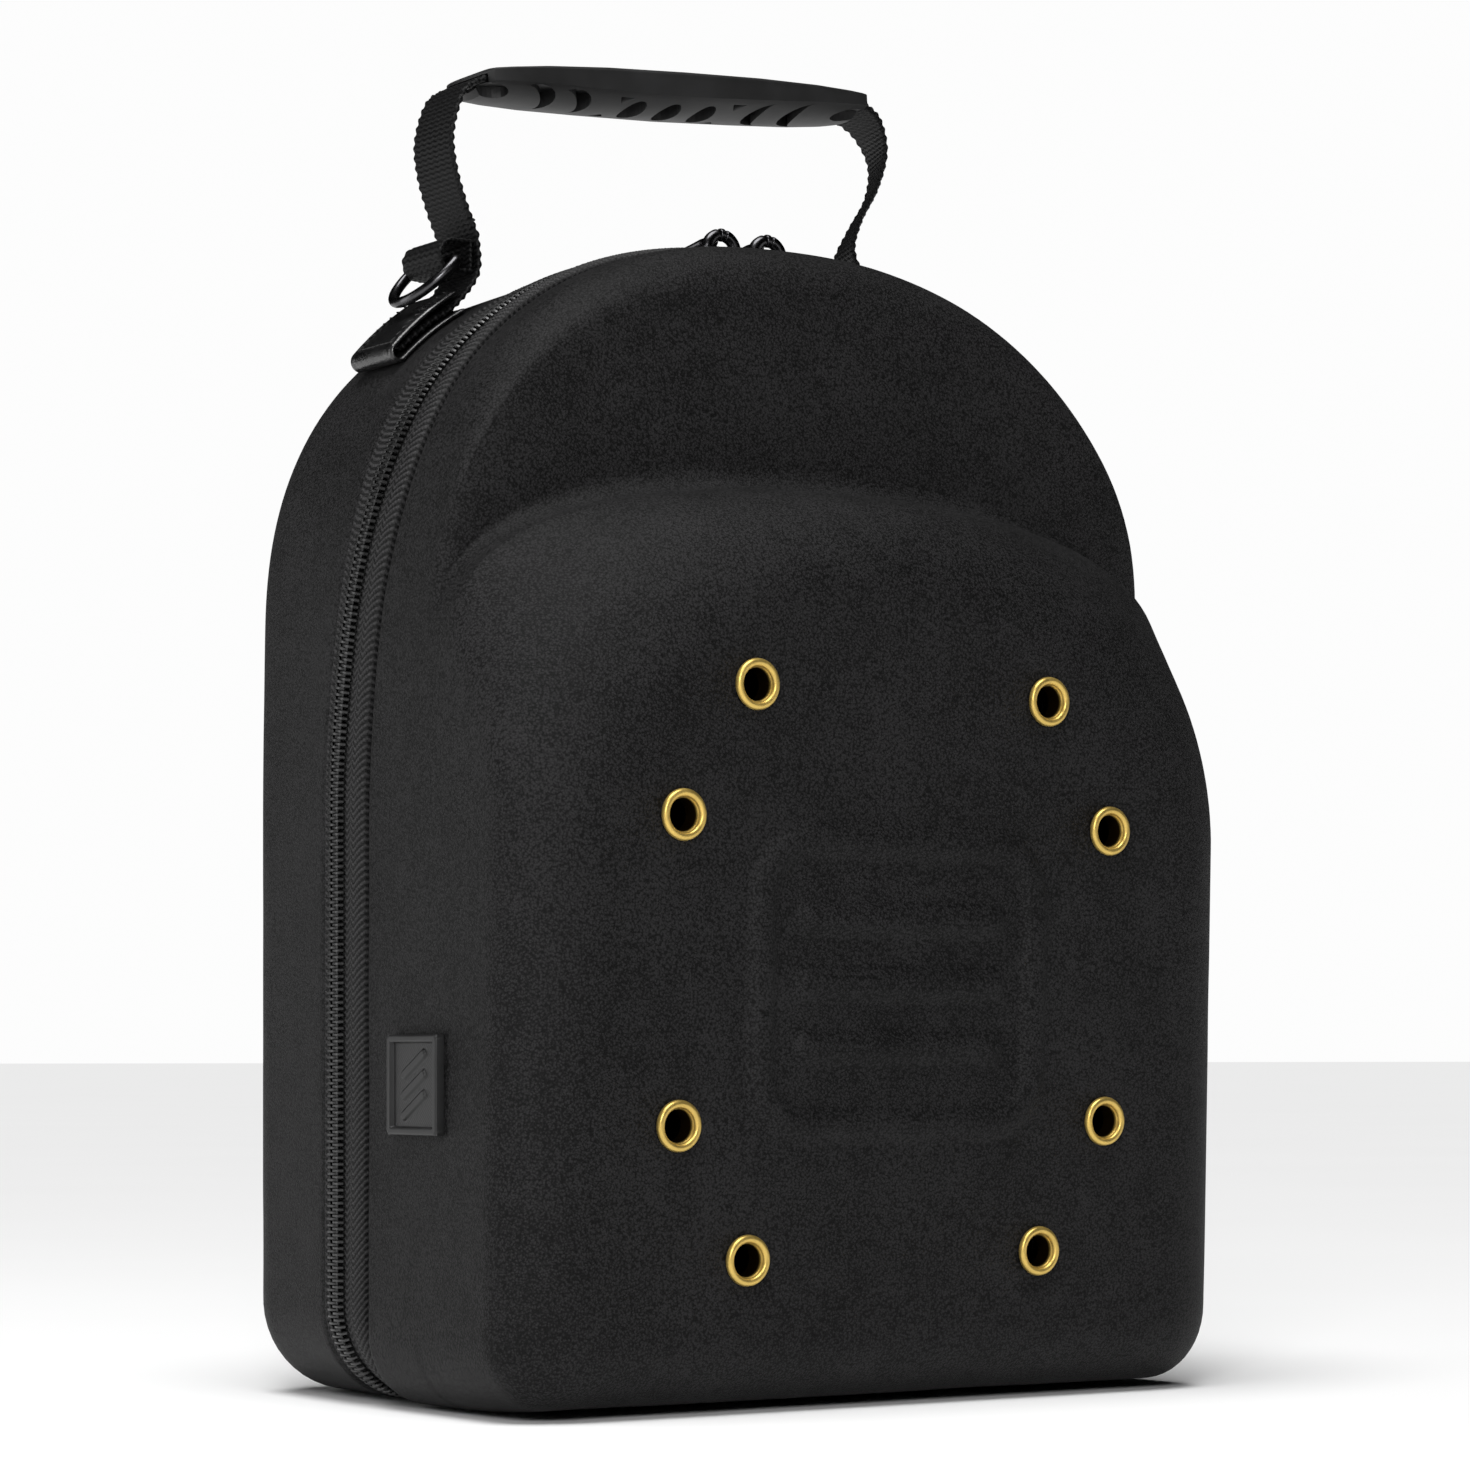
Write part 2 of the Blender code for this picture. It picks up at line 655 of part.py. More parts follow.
def make_strap(material):
    """Webbing from the left tab through the grip to the right tab; its right half is twisted."""
    left = strap_half(-1)
    right = strap_half(1)
    grip_ends = [grip_line(side * GRIP_LENGTH / 2, -GRIP_STRAP_DROP) for side in (-1, 1)]
    path = smooth_path(list(reversed(left)) + grip_ends[:1], 3)
    path += smooth_path(grip_ends[1:] + right, 3)
    high = max(point.y for point in path)
    low = neck()[1] + LOOP_HALF_HEIGHT
    rings = []
    for index, point in enumerate(path):
        ahead = path[min(index + 1, len(path) - 1)]
        behind = path[max(index - 1, 0)]
        direction = (ahead - behind).normalized()
        normal = Vector((-direction.y, direction.x))
        twist = 0.0
        if point.x > 0 and point.y > low:
            share = (high - point.y) / (high - low)
            twist = STRAP_TWIST * math.sin(math.pi * share)
        along_y = Vector((math.sin(twist), math.cos(twist)))
        ring = []
        for across, out in ((-1, -1), (1, -1), (1, 1), (-1, 1)):
            offset = normal * out * STRAP_THICK / 2
            x = point.x + offset.x + across * STRAP_WIDTH / 2 * along_y.x
            y = HANDLE_Y + across * STRAP_WIDTH / 2 * along_y.y
            ring.append(Vector((x, y, point.y + offset.y)))
        rings.append(ring)
    add_object("handle_strap", loft(rings), material)


def make_grip(material):
    """Rubber grip with a rounded belly and a slot through it for the strap."""
    # share of half the length, then shares of the top, side, belly and width
    stations = (
        (1.0, 0.25, 0.60, 0.62, 0.84),
        (0.97, 0.42, 0.60, 0.70, 0.90),
        (0.88, 0.55, 0.62, 0.80, 0.96),
        (0.70, 0.76, 0.68, 0.90, 1.0),
        (0.40, 0.95, 0.84, 0.96, 1.0),
        (0.0, 1.0, 1.0, 1.0, 1.0),
    )
    mirrored = [(-share, *rest) for share, *rest in stations] + list(reversed(stations[:-1]))
    rings = []
    for share, top, side, belly, width in mirrored:
        along = share * GRIP_LENGTH / 2
        half = GRIP_WIDTH / 2 * width
        upper = GRIP_TOP * top
        lower = GRIP_SIDE * side
        deep = GRIP_BELLY * belly
        section = (
            (-half, -lower), (-half * 0.6, -(lower + deep) / 2), (0.0, -deep),
            (half * 0.6, -(lower + deep) / 2), (half, -lower),
            (half, upper * 0.55), (half * 0.85, upper * 0.9), (0.0, upper),
            (-half * 0.85, upper * 0.9), (-half, upper * 0.55),
        )
        ring = []
        for across, offset in section:
            x, z = grip_line(along, offset)
            ring.append(Vector((x, HANDLE_Y + across, z)))
        rings.append(ring)
    grip = add_object("handle_grip", loft(rings), material)
    slot = []
    half_width = STRAP_WIDTH / 2 + GAP
    half_height = STRAP_THICK / 2 + GAP
    for along in (-0.6 * GRIP_LENGTH, 0.6 * GRIP_LENGTH):
        ring = []
        for across, up in ((-1, -1), (1, -1), (1, 1), (-1, 1)):
            x, z = grip_line(along, -GRIP_STRAP_DROP + up * half_height)
            ring.append(Vector((x, HANDLE_Y + across * half_width, z)))
        slot.append(ring)
    add_boolean(grip, make_cutter("grip_slot", loft(slot)), "DIFFERENCE")


def loop_centre():
    """Middle (x, z) of the hollow in a ring loop, on the right-hand side, and its flat side's x."""
    neck_x, neck_z = neck()
    flat = neck_x + STRAP_THICK / 2 + 2 * GAP
    return flat + LOOP_THICK + LOOP_RADIUS, neck_z - GAP, flat


def make_ring_loop(name, material, side):
    """Webbing end rolled into a loop on the outside of the strap."""
    x, z, flat = loop_centre()
    steps = 8

    def loop(radius, start, half_height):
        points = [(start, z - half_height), (start, z + half_height)]
        for step in range(steps + 1):
            angle = math.pi / 2 - math.pi * step / steps
            points.append((x + radius * math.cos(angle), z + radius * math.sin(angle)))
        return points

    outer = loop(LOOP_RADIUS, flat, LOOP_HALF_HEIGHT)
    inner = loop(LOOP_RADIUS - LOOP_THICK, flat + LOOP_THICK, LOOP_RADIUS - 1.6 * LOOP_THICK)
    rings = []
    for points, y_side in ((outer, -1), (outer, 1), (inner, 1), (inner, -1)):
        rings.append([Vector((side * px, HANDLE_Y + y_side * STRAP_WIDTH / 2, pz))
                      for px, pz in points])
    add_object(name, loft(rings, wrap=True), material)


def make_d_ring(name, material, side):
    """Wire D ring: its straight bar lies in the loop and its bow rests over the tab."""
    bar_x, z, _ = loop_centre()
    fall = ring_angle()
    bar_z = z - (LOOP_RADIUS - LOOP_THICK - RING_WIRE - GAP)
    half = RING_WIDTH / 2
    # distance down the bow, and share of the half width
    route = [(0.0, -0.7), (0.0, 0.0), (0.0, 0.7), (RING_WIRE * 0.3, 0.95)]
    steps = 8
    for step in range(steps + 1):
        angle = math.pi * step / steps
        route.append((RING_WIRE * 2 + (RING_DROP - RING_WIRE * 2) * math.sin(angle),
                      math.cos(angle)))
    route.append((RING_WIRE * 0.3, -0.95))
    centres = [Vector((bar_x + down * math.cos(fall), across * half,
                       bar_z - down * math.sin(fall))) for down, across in route]
    normal = Vector((math.sin(fall), 0, math.cos(fall)))
    rings = []
    count = len(centres)
    for index, centre in enumerate(centres):
        direction = (centres[(index + 1) % count] - centres[index - 1]).normalized()
        outward = direction.cross(normal).normalized()
        ring = []
        for step in range(8):
            angle = 2 * math.pi * step / 8
            point = centre + RING_WIRE * (math.cos(angle) * outward + math.sin(angle) * normal)
            ring.append(Vector((side * point.x, HANDLE_Y + point.y, point.z)))
        rings.append(ring)
    add_object(name, loft(rings, wrap=True), material)


def bail_axis():
    """World Y and Z of the pulls' hinge, through the top of the bails."""
    return ZIP_Y - lean(CASE_HEIGHT), CASE_HEIGHT + GAP + SLIDER_THICK + BAIL_HEIGHT - BAIL_WIRE


def make_slider(name, material, bail_x, side):
    """Slider plate over the coil, with an arched wire bail along the zip."""
    zip_y, axis_z = bail_axis()
    base = CASE_HEIGHT + GAP
    body = bmesh.new()
    bmesh.ops.create_cube(body, size=1.0)
    bmesh.ops.scale(body, vec=(SLIDER_LENGTH, SLIDER_WIDTH, SLIDER_THICK), verts=body.verts)
    upright = [edge for edge in body.edges
               if abs(edge.verts[0].co.z - edge.verts[1].co.z) > SLIDER_THICK / 2]
    bmesh.ops.bevel(body, geom=upright, offset=SLIDER_WIDTH / 4, segments=3, affect="EDGES")
    centre = Vector((bail_x + side * SLIDER_OFFSET, zip_y, base + SLIDER_THICK / 2))
    bmesh.ops.translate(body, vec=centre, verts=body.verts)
    slider = add_object(name, body, material)
    foot = base + SLIDER_THICK / 2
    rise = axis_z - foot
    rings = []
    steps = 12
    for step in range(steps + 1):
        angle = math.pi * step / steps
        point = Vector((bail_x - BAIL_HALF * math.cos(angle), zip_y, foot + rise * math.sin(angle)))
        direction = Vector((BAIL_HALF * math.sin(angle), 0, rise * math.cos(angle))).normalized()
        outward = Vector((0, 1, 0)).cross(direction)
        ring = []
        for corner in range(8):
            turn = 2 * math.pi * corner / 8
            ring.append(point + BAIL_WIRE * (math.cos(turn) * outward
                                             + math.sin(turn) * Vector((0, 1, 0))))
        rings.append(ring)
    bail = make_cutter(f"{name}_bail", loft(rings))
    add_boolean(slider, bail, "UNION")
    return slider


def make_pull(name, material, bail_x):
    """Flat pull with an eye around the bail; at rest it lies back over the back shell."""
    zip_y, axis_z = bail_axis()
    axle = bpy.data.objects.new(f"{name}_axis", None)
    bpy.context.scene.collection.objects.link(axle)
    axle.location = (bail_x, zip_y, axis_z)
    axle.rotation_euler = (-PULL_DROOP, 0, 0)

    def along_x(radius, half_width, segments=16):
        ends = []
        for x in (-half_width, half_width):
            ends.append([Vector((x, point.x, point.y)) for point in circle(radius, 0, segments)])
        return loft(ends)

    plate = []
    root = PULL_EYE_BORE + GAP
    shape = [
        (-PULL_EYE_WIDTH / 2, root), (PULL_EYE_WIDTH / 2, root),
        (PULL_WIDTH * 0.35, PULL_EYE + PULL_THICK), (PULL_WIDTH / 2, PULL_LENGTH * 0.6),
        (PULL_WIDTH / 2, PULL_LENGTH * 0.85), (PULL_WIDTH * 0.3, PULL_LENGTH),
        (-PULL_WIDTH * 0.3, PULL_LENGTH), (-PULL_WIDTH / 2, PULL_LENGTH * 0.85),
        (-PULL_WIDTH / 2, PULL_LENGTH * 0.6), (-PULL_WIDTH * 0.35, PULL_EYE + PULL_THICK),
    ]
    for z in (-PULL_THICK / 2, PULL_THICK / 2):
        plate.append([Vector((x, y, z)) for x, y in shape])
    pull = add_object(name, loft(plate), material)
    pull.parent = axle
    eye = make_cutter(f"{name}_eye", along_x(PULL_EYE, PULL_EYE_WIDTH / 2))
    bore = make_cutter(f"{name}_bore", along_x(PULL_EYE_BORE, PULL_EYE_WIDTH))
    eye.parent = axle
    bore.parent = axle
    add_boolean(pull, eye, "UNION")
    add_boolean(pull, bore, "DIFFERENCE")
    return pull


def build_case():
    cloth = make_material("moulded_cloth", (0.012, 0.012, 0.013), 0.8)
    tape = make_material("zip_tape", (0.02, 0.02, 0.021), 0.75)
    coil = make_material("zip_coil_nylon", (0.02, 0.02, 0.021), 0.4)
    brass = make_material("brass", (0.80, 0.60, 0.22), 0.22, 1.0)
    rubber = make_material("rubber", (0.02, 0.02, 0.022), 0.55)
    webbing = make_material("webbing", (0.015, 0.015, 0.016), 0.7)
    leather = make_material("leather", (0.012, 0.012, 0.013), 0.3)
    nickel = make_material("black_nickel", (0.12, 0.12, 0.125), 0.25, 1.0)

    make_back_shell(cloth)
    make_front_shell(cloth)
    make_zip(tape, coil)
    make_eyelets(brass)
    make_badge(rubber)
    make_strap(webbing)
    make_grip(rubber)
    for word, side in (("left", -1), ("right", 1)):
        make_tab(f"tab_{word}", leather, side)
        make_ring_loop(f"ring_loop_{word}", webbing, side)
        make_d_ring(f"d_ring_{word}", nickel, side)
    for word, side, bail_x in zip(("left", "right"), (-1, 1), SLIDER_BAIL_X):
        make_slider(f"slider_{word}", nickel, bail_x, side)
        make_pull(f"pull_{word}", nickel, bail_x)


clear_scene()
build_case()
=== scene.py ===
"""Finished look of the cap carrier case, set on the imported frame."""
import math
from collections import namedtuple

import bmesh
import bpy
import numpy as np
from mathutils import Matrix, Vector


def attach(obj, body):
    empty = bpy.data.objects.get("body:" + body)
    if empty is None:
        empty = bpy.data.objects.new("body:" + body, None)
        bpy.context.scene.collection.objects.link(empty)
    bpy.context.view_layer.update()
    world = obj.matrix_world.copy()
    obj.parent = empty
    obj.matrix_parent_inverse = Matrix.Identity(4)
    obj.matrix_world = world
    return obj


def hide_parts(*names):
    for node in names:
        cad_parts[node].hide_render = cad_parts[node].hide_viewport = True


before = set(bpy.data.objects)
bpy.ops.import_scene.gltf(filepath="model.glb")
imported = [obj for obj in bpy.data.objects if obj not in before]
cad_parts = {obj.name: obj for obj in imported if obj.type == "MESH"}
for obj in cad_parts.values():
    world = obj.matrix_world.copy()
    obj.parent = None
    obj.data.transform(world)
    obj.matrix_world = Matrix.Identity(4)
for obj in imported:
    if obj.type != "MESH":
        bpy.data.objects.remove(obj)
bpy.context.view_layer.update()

MM = 0.001
GAP = 0.3 * MM

# Named sizes of the frame, repeated from its source
CASE_WIDTH = 226 * MM
CASE_HEIGHT = 300 * MM
SHOULDER_HEIGHT = 190 * MM
ARCH_POWER = 2.35
WALL = 4 * MM
BACK_DEPTH = 56.5 * MM
BACK_EDGE_ROUND = 18 * MM
BACK_DRAFT = 3 * MM
BACK_CORNER = 24 * MM
BACK_SHOULDER_RISE = 11 * MM
BRIM_DEPTH = 39.5 * MM
BRIM_ROUND = 16 * MM
BRIM_SLOPE = 2.5 * MM
CREASE_ROUND = 9 * MM
CROWN_TOP = 232 * MM
FRONT_DEPTH = 86.5 * MM
FRONT_CORNER = 18 * MM
FACE_TOP = 204 * MM
FACE_SHOULDER = 132 * MM
FACE_POWER = 1.9
FACE_TILT = 0.03
FACE_SIDE_ROUND = 24 * MM
FACE_EDGE_DEPTH = 15 * MM
FACE_FOOT_ROUND = 14 * MM
FOOT_RISE = 3.5 * MM
FOOT_FLAT = 34 * MM
LEAN = 14 * MM
LEAN_START = 150 * MM
LEAN_SPAN = 100 * MM
SHELL_STEP = 1 * MM
COIL_HALF = 3.4 * MM
COIL_RISE = 1 * MM
TAPE_THICK = 1.6 * MM
BACK_TAPE_WIDTH = 1.5 * MM
FRONT_TAPE_WIDTH = 10.6 * MM
PIPING_RADIUS = 3.2 * MM
EYELET_INNER_X = 45.6 * MM
EYELET_OUTER_X = 66.6 * MM
EYELET_ROWS = (37.8 * MM, 71.1 * MM, 146.7 * MM, 179.3 * MM)
EYELET_BORE = 4.1 * MM
EYELET_WALL = 0.5 * MM
EYELET_FLANGE = 6.4 * MM
EYELET_PROUD = 1.45 * MM
MOTIF_WIDTH = 92 * MM
MOTIF_HEIGHT = 78 * MM
MOTIF_CENTRE_Z = 106 * MM
MOTIF_RIB = 7 * MM
MOTIF_RISE = 1.6 * MM
MOTIF_CORNER = 18 * MM
MOTIF_RIB_COUNT = 3
BADGE_WIDTH = 24.5 * MM
BADGE_HEIGHT = 25 * MM
BADGE_THICK = 2.4 * MM
BADGE_BORDER = 2 * MM
BADGE_AHEAD = 42 * MM
BADGE_Z = 81 * MM
HANDLE_BEHIND_ZIP = 20 * MM
STRAP_WIDTH = 20 * MM
STRAP_THICK = 1.6 * MM
GRIP_LENGTH = 124 * MM
GRIP_WIDTH = 28 * MM
GRIP_TOP = 4.1 * MM
GRIP_SIDE = 3.4 * MM
GRIP_BELLY = 7.2 * MM
GRIP_Z = CASE_HEIGHT + 50.7 * MM
GRIP_TILT = math.radians(4.2)
GRIP_STRAP_DROP = 1 * MM
STRAP_TWIST = math.radians(27)
NECK_INSIDE_TAB = 4 * MM
NECK_ABOVE_TAB = 15.4 * MM
STRAP_IN_TAB = (0.92, 0.6, 0.3, 0.08)
STRAP_LEFT = ((4 * MM, 0.09), (7.5 * MM, 0.31), (6.8 * MM, 0.5), (4 * MM, 0.69), (1 * MM, 0.84))
STRAP_RIGHT = ((5 * MM, 0.07), (9 * MM, 0.22), (7 * MM, 0.4), (1 * MM, 0.58), (-2.5 * MM, 0.74))
TAB_WIDTH = 22 * MM
TAB_THICK = 1.3 * MM
TAB_LOW = math.radians(42.5)
TAB_HIGH = math.radians(56)
TAB_SPREAD = 1 * MM
LOOP_RADIUS = 4.6 * MM
LOOP_THICK = 1.4 * MM
LOOP_HALF_HEIGHT = 4.6 * MM
RING_WIRE = 1.4 * MM
RING_WIDTH = 24 * MM
RING_DROP = 14.5 * MM
RING_FROM_ARCH = math.radians(8.7)
SLIDER_BAIL_X = (-3.4 * MM, 11.5 * MM)
SLIDER_LENGTH = 14 * MM
SLIDER_WIDTH = 9.5 * MM
SLIDER_THICK = 2 * MM
SLIDER_OFFSET = 1.6 * MM
BAIL_WIRE = 1.1 * MM
BAIL_HALF = 4.6 * MM
BAIL_HEIGHT = 5.2 * MM
PULL_LENGTH = 25 * MM
PULL_THICK = 1.6 * MM
PULL_DROOP = math.radians(11)
EYELET_REACH = FACE_TILT * (EYELET_ROWS[-1] + EYELET_FLANGE) + EYELET_PROUD
ZIP_Y = (FRONT_DEPTH + EYELET_REACH - BACK_DEPTH) / 2
HANDLE_Y = ZIP_Y + HANDLE_BEHIND_ZIP

# Detail that only the finished look has
ROUND_POINTS = 300
FACE_RINGS = 88
TOOTH_PITCH = 1.65 * MM
TOOTH_WIRE = 0.62 * MM
TOOTH_SPINE = ((3.15, 0.1), (3.3, 0.75), (2.75, 1.25), (1.4, 1.42), (0.1, 1.38), (-0.55, 0.95),
               (-0.5, 0.3))
TOOTH_SWELL = (0.75, 1.0, 1.0, 0.92, 1.05, 1.1, 0.8)
COIL_BED = -0.9 * MM
HERRING_PITCH = 1.8 * MM
HERRING_SLANT = 0.9
PIPING_MIDDLE = COIL_HALF + GAP + FRONT_TAPE_WIDTH - PIPING_RADIUS
ARCH_TAPE = 4.3 * MM
BAIL_THICK = 1.65 * MM
BAIL_WAIST = 0.9 * MM
EYE_OUTSIDE = 1.75 * MM
EYE_BORE = 1.15 * MM
EYE_WIDTH = 1.5 * MM
BADGE_BAR_PITCH = 5 * MM
BADGE_BAR_SLANT = 0.5

# Along the pull: share of its length, half width in mm, share of its thickness
PULL_STATIONS = ((0.0, 0.72, 0.7), (0.04, 0.75, 0.9), (0.1, 1.6, 1.0), (0.16, 2.3, 1.0),
                 (0.2, 2.75, 1.0), (0.35, 3.2, 0.92), (0.55, 3.9, 0.9), (0.7, 4.0, 0.9),
                 (0.85, 3.95, 0.95), (0.93, 3.4, 1.0), (0.98, 2.3, 0.95), (1.0, 1.4, 0.7))

# Camera at the photograph's viewing angle, and the lights
CAMERA_PLACE = (-0.6359, -0.92835, 0.08835)
CAMERA_TURN = math.radians(-35.039)
CAMERA_LENS = 103.78
CAMERA_SHIFT = (-0.03581, 0.21773)
KEY_LIGHT = ((-0.85, -1.05, 0.62), (-0.03, -0.05, 0.17), 0.35, 9.0, 0.5)
RIM_LIGHT = ((-0.85, 0.6, 0.3), (-0.1, 0.05, 0.15), 0.4, 2.0, 0.7)
TOP_LIGHT = (-50, 76, 40, 3.0)
WORLD_STRENGTH = 0.98
RIB_PITCH = 1.3 * MM
WARP_PITCH = 2.9 * MM

Section = namedtuple("Section", "side foot top shoulder corner power")


# Materials

def node(tree, kind, **settings):
    """Add a shader node, with plain values set and sockets linked."""
    made = tree.nodes.new(kind)
    inputs = settings.pop("inputs", {})
    for key, value in settings.items():
        setattr(made, key, value)
    for key, value in inputs.items():
        if isinstance(value, bpy.types.NodeSocket):
            tree.links.new(value, made.inputs[key])
        else:
            made.inputs[key].default_value = value
    return made


def maths(tree, operation, first, second=0.0, third=0.0):
    """Result of one operation on values or sockets."""
    made = node(tree, "ShaderNodeMath", operation=operation,
                inputs={0: first, 1: second, 2: third})
    return made.outputs[0]


def new_material(name, **sockets):
    """Material with constants set on its Principled shader."""
    material = bpy.data.materials.new(name)
    material.use_nodes = True
    shader = material.node_tree.nodes["Principled BSDF"]
    for key, value in sockets.items():
        shader.inputs[key.replace("_", " ")].default_value = value
    return material, material.node_tree, shader


def coordinates(tree):
    """Place on the object, before any turn or move of it."""
    return node(tree, "ShaderNodeTexCoord").outputs["Object"]


def noise(tree, vector, scale, detail=2.0, rough=0.5):
    """Value of smooth noise."""
    made = node(tree, "ShaderNodeTexNoise", inputs={
        "Vector": vector, "Scale": scale, "Detail": detail, "Roughness": rough})
    return made.outputs["Fac"]


def ramp(tree, value, low, high, dark, light):
    """Colour from dark to light as a value runs from low to high."""
    made = node(tree, "ShaderNodeValToRGB", inputs={"Fac": value})
    made.color_ramp.elements[0].position = low
    made.color_ramp.elements[1].position = high
    made.color_ramp.elements[0].color = (*dark, 1)
    made.color_ramp.elements[1].color = (*light, 1)
    return made.outputs["Color"]


def remap(tree, value, low, high, out_low, out_high):
    """Value moved from one range to another."""
    made = node(tree, "ShaderNodeMapRange", inputs={
        "Value": value, "From Min": low, "From Max": high, "To Min": out_low, "To Max": out_high})
    return made.outputs["Result"]


def bump(tree, shader, height, distance, strength=1.0):
    """Fine relief from a height."""
    made = node(tree, "ShaderNodeBump", inputs={
        "Height": height, "Distance": distance, "Strength": strength})
    tree.links.new(made.outputs["Normal"], shader.inputs["Normal"])


def cloth_material():
    """Speckled fine weave over moulded foam: dark hollows between small, rubbed thread ends."""
    material, tree, shader = new_material("moulded_cloth", Roughness=0.55, Sheen_Weight=0.01,
                                          Sheen_Roughness=0.4, Specular_IOR_Level=0.16)
    place = coordinates(tree)
    ends = node(tree, "ShaderNodeTexVoronoi", inputs={"Vector": place, "Scale": 1500.0})
    fine = noise(tree, place, 2900.0, 3.0, 0.7)
    patch = noise(tree, place, 130.0, 3.0, 0.6)
    broad = noise(tree, place, 26.0, 3.0, 0.55)
    threads = maths(tree, "MULTIPLY_ADD", ends.outputs["Distance"], -0.55, fine)
    grain = maths(tree, "MULTIPLY_ADD", patch, 0.22, threads)
    tone = maths(tree, "MULTIPLY_ADD", broad, 0.22, grain)
    colour = ramp(tree, tone, 0.32, 0.6, (0.0003, 0.0003, 0.0003), (0.0185, 0.018, 0.0187))
    tree.links.new(colour, shader.inputs["Base Color"])
    rough = remap(tree, maths(tree, "MULTIPLY_ADD", broad, 0.6, fine), 0.4, 1.2, 0.48, 0.64)
    tree.links.new(rough, shader.inputs["Roughness"])
    bump(tree, shader, threads, 0.2 * MM, 0.9)
    return material


def tape_material(name, tone):
    """Dull woven thread, of a darker or lighter tone."""
    material, tree, shader = new_material(name, Roughness=0.5, Sheen_Weight=0.02,
                                          Specular_IOR_Level=0.3)
    place = coordinates(tree)
    grain = noise(tree, place, 3200.0, 2.0, 0.6)
    colour = ramp(tree, grain, 0.3, 0.75, (0.003 * tone,) * 3, (0.012 * tone,) * 3)
    tree.links.new(colour, shader.inputs["Base Color"])
    bump(tree, shader, grain, 0.08 * MM, 0.9)
    return material


def herringbone_material():
    """Zip tape woven in chevrons, with light thread ends on dark ground."""
    material, tree, shader = new_material("zip_tape", Roughness=0.55, Specular_IOR_Level=0.25)
    lie = node(tree, "ShaderNodeAttribute", attribute_name="lie").outputs["Vector"]
    split = node(tree, "ShaderNodeSeparateXYZ", inputs={"Vector": lie})
    over = maths(tree, "PINGPONG", maths(tree, "ADD", split.outputs[0], -PIPING_MIDDLE / MM),
                 PIPING_RADIUS / MM)
    slant = maths(tree, "MULTIPLY_ADD", over, HERRING_SLANT, split.outputs[1])
    chevron = maths(tree, "SINE", maths(tree, "MULTIPLY", slant,
                                        2 * math.pi / (HERRING_PITCH / MM)))
    crossing = maths(tree, "MULTIPLY_ADD", split.outputs[1], -0.5, over)
    dots = maths(tree, "SINE", maths(tree, "MULTIPLY", crossing, 2 * math.pi / 0.9))
    weave = maths(tree, "MULTIPLY_ADD", dots, 0.35, chevron)
    grain = noise(tree, coordinates(tree), 3000.0, 2.0, 0.6)
    height = maths(tree, "MULTIPLY_ADD", weave, 0.3, grain)
    colour = ramp(tree, height, 0.35, 0.95, (0.0015, 0.0015, 0.0016), (0.042, 0.041, 0.042))
    tree.links.new(colour, shader.inputs["Base Color"])
    bump(tree, shader, height, 0.2 * MM, 0.9)
    return material


def webbing_material():
    """Ribbed webbing: small floats of thread along the strap, offset from rib to rib."""
    material, tree, shader = new_material("webbing", Roughness=0.5, Sheen_Weight=0.01,
                                          Specular_IOR_Level=0.15)
    lie = node(tree, "ShaderNodeAttribute", attribute_name="lie").outputs["Vector"]
    split = node(tree, "ShaderNodeSeparateXYZ", inputs={"Vector": lie})
    warp = maths(tree, "SINE", maths(tree, "MULTIPLY", split.outputs[0],
                                     2 * math.pi / (WARP_PITCH / MM)))
    step = maths(tree, "MULTIPLY", split.outputs[1], 2 * math.pi / (RIB_PITCH / MM))
    rib = maths(tree, "SINE", maths(tree, "MULTIPLY_ADD", warp, 1.1, step))
    ends = maths(tree, "SINE", maths(tree, "MULTIPLY", split.outputs[0], 2 * math.pi / 0.72))
    float_height = maths(tree, "MULTIPLY_ADD", maths(tree, "MULTIPLY", ends, rib), 0.6, rib)
    grain = noise(tree, coordinates(tree), 3000.0, 2.0, 0.6)
    height = maths(tree, "MULTIPLY_ADD", float_height, 0.3, grain)
    colour = ramp(tree, height, 0.4, 1.0, (0.0002, 0.0002, 0.0003), (0.011, 0.011, 0.0114))
    tree.links.new(colour, shader.inputs["Base Color"])
    bump(tree, shader, height, 0.12 * MM, 0.9)
    return material


def rubber_material(name, low, high, rough):
    """Moulded rubber with faint cloudiness and a fine grain."""
    material, tree, shader = new_material(name, Specular_IOR_Level=0.42)
    place = coordinates(tree)
    broad = noise(tree, place, 60.0, 4.0, 0.6)
    fine = noise(tree, place, 1500.0, 2.0, 0.5)
    colour = ramp(tree, broad, 0.3, 0.8, (low,) * 3, (high, high, high * 1.03))
    tree.links.new(colour, shader.inputs["Base Color"])
    tree.links.new(remap(tree, broad, 0.3, 0.8, rough, rough + 0.14), shader.inputs["Roughness"])
    bump(tree, shader, fine, 0.03 * MM, 0.6)
    return material


def leather_material():
    """Glossy coated leather with a fine pebble grain."""
    material, tree, shader = new_material("leather", Specular_IOR_Level=0.55, Coat_Weight=0.4,
                                          Coat_Roughness=0.2)
    place = coordinates(tree)
    cells = node(tree, "ShaderNodeTexVoronoi", feature="DISTANCE_TO_EDGE",
                 inputs={"Vector": place, "Scale": 900.0}).outputs["Distance"]
    broad = noise(tree, place, 120.0, 3.0, 0.6)
    colour = ramp(tree, cells, 0.0, 0.3, (0.003, 0.003, 0.0032), (0.011, 0.0108, 0.011))
    tree.links.new(colour, shader.inputs["Base Color"])
    tree.links.new(remap(tree, broad, 0.3, 0.7, 0.24, 0.42), shader.inputs["Roughness"])
    grain = remap(tree, cells, 0.0, 0.25, 0.0, 1.0)
    bump(tree, shader, maths(tree, "MULTIPLY_ADD", broad, 1.2, grain), 0.06 * MM, 0.7)
    return material


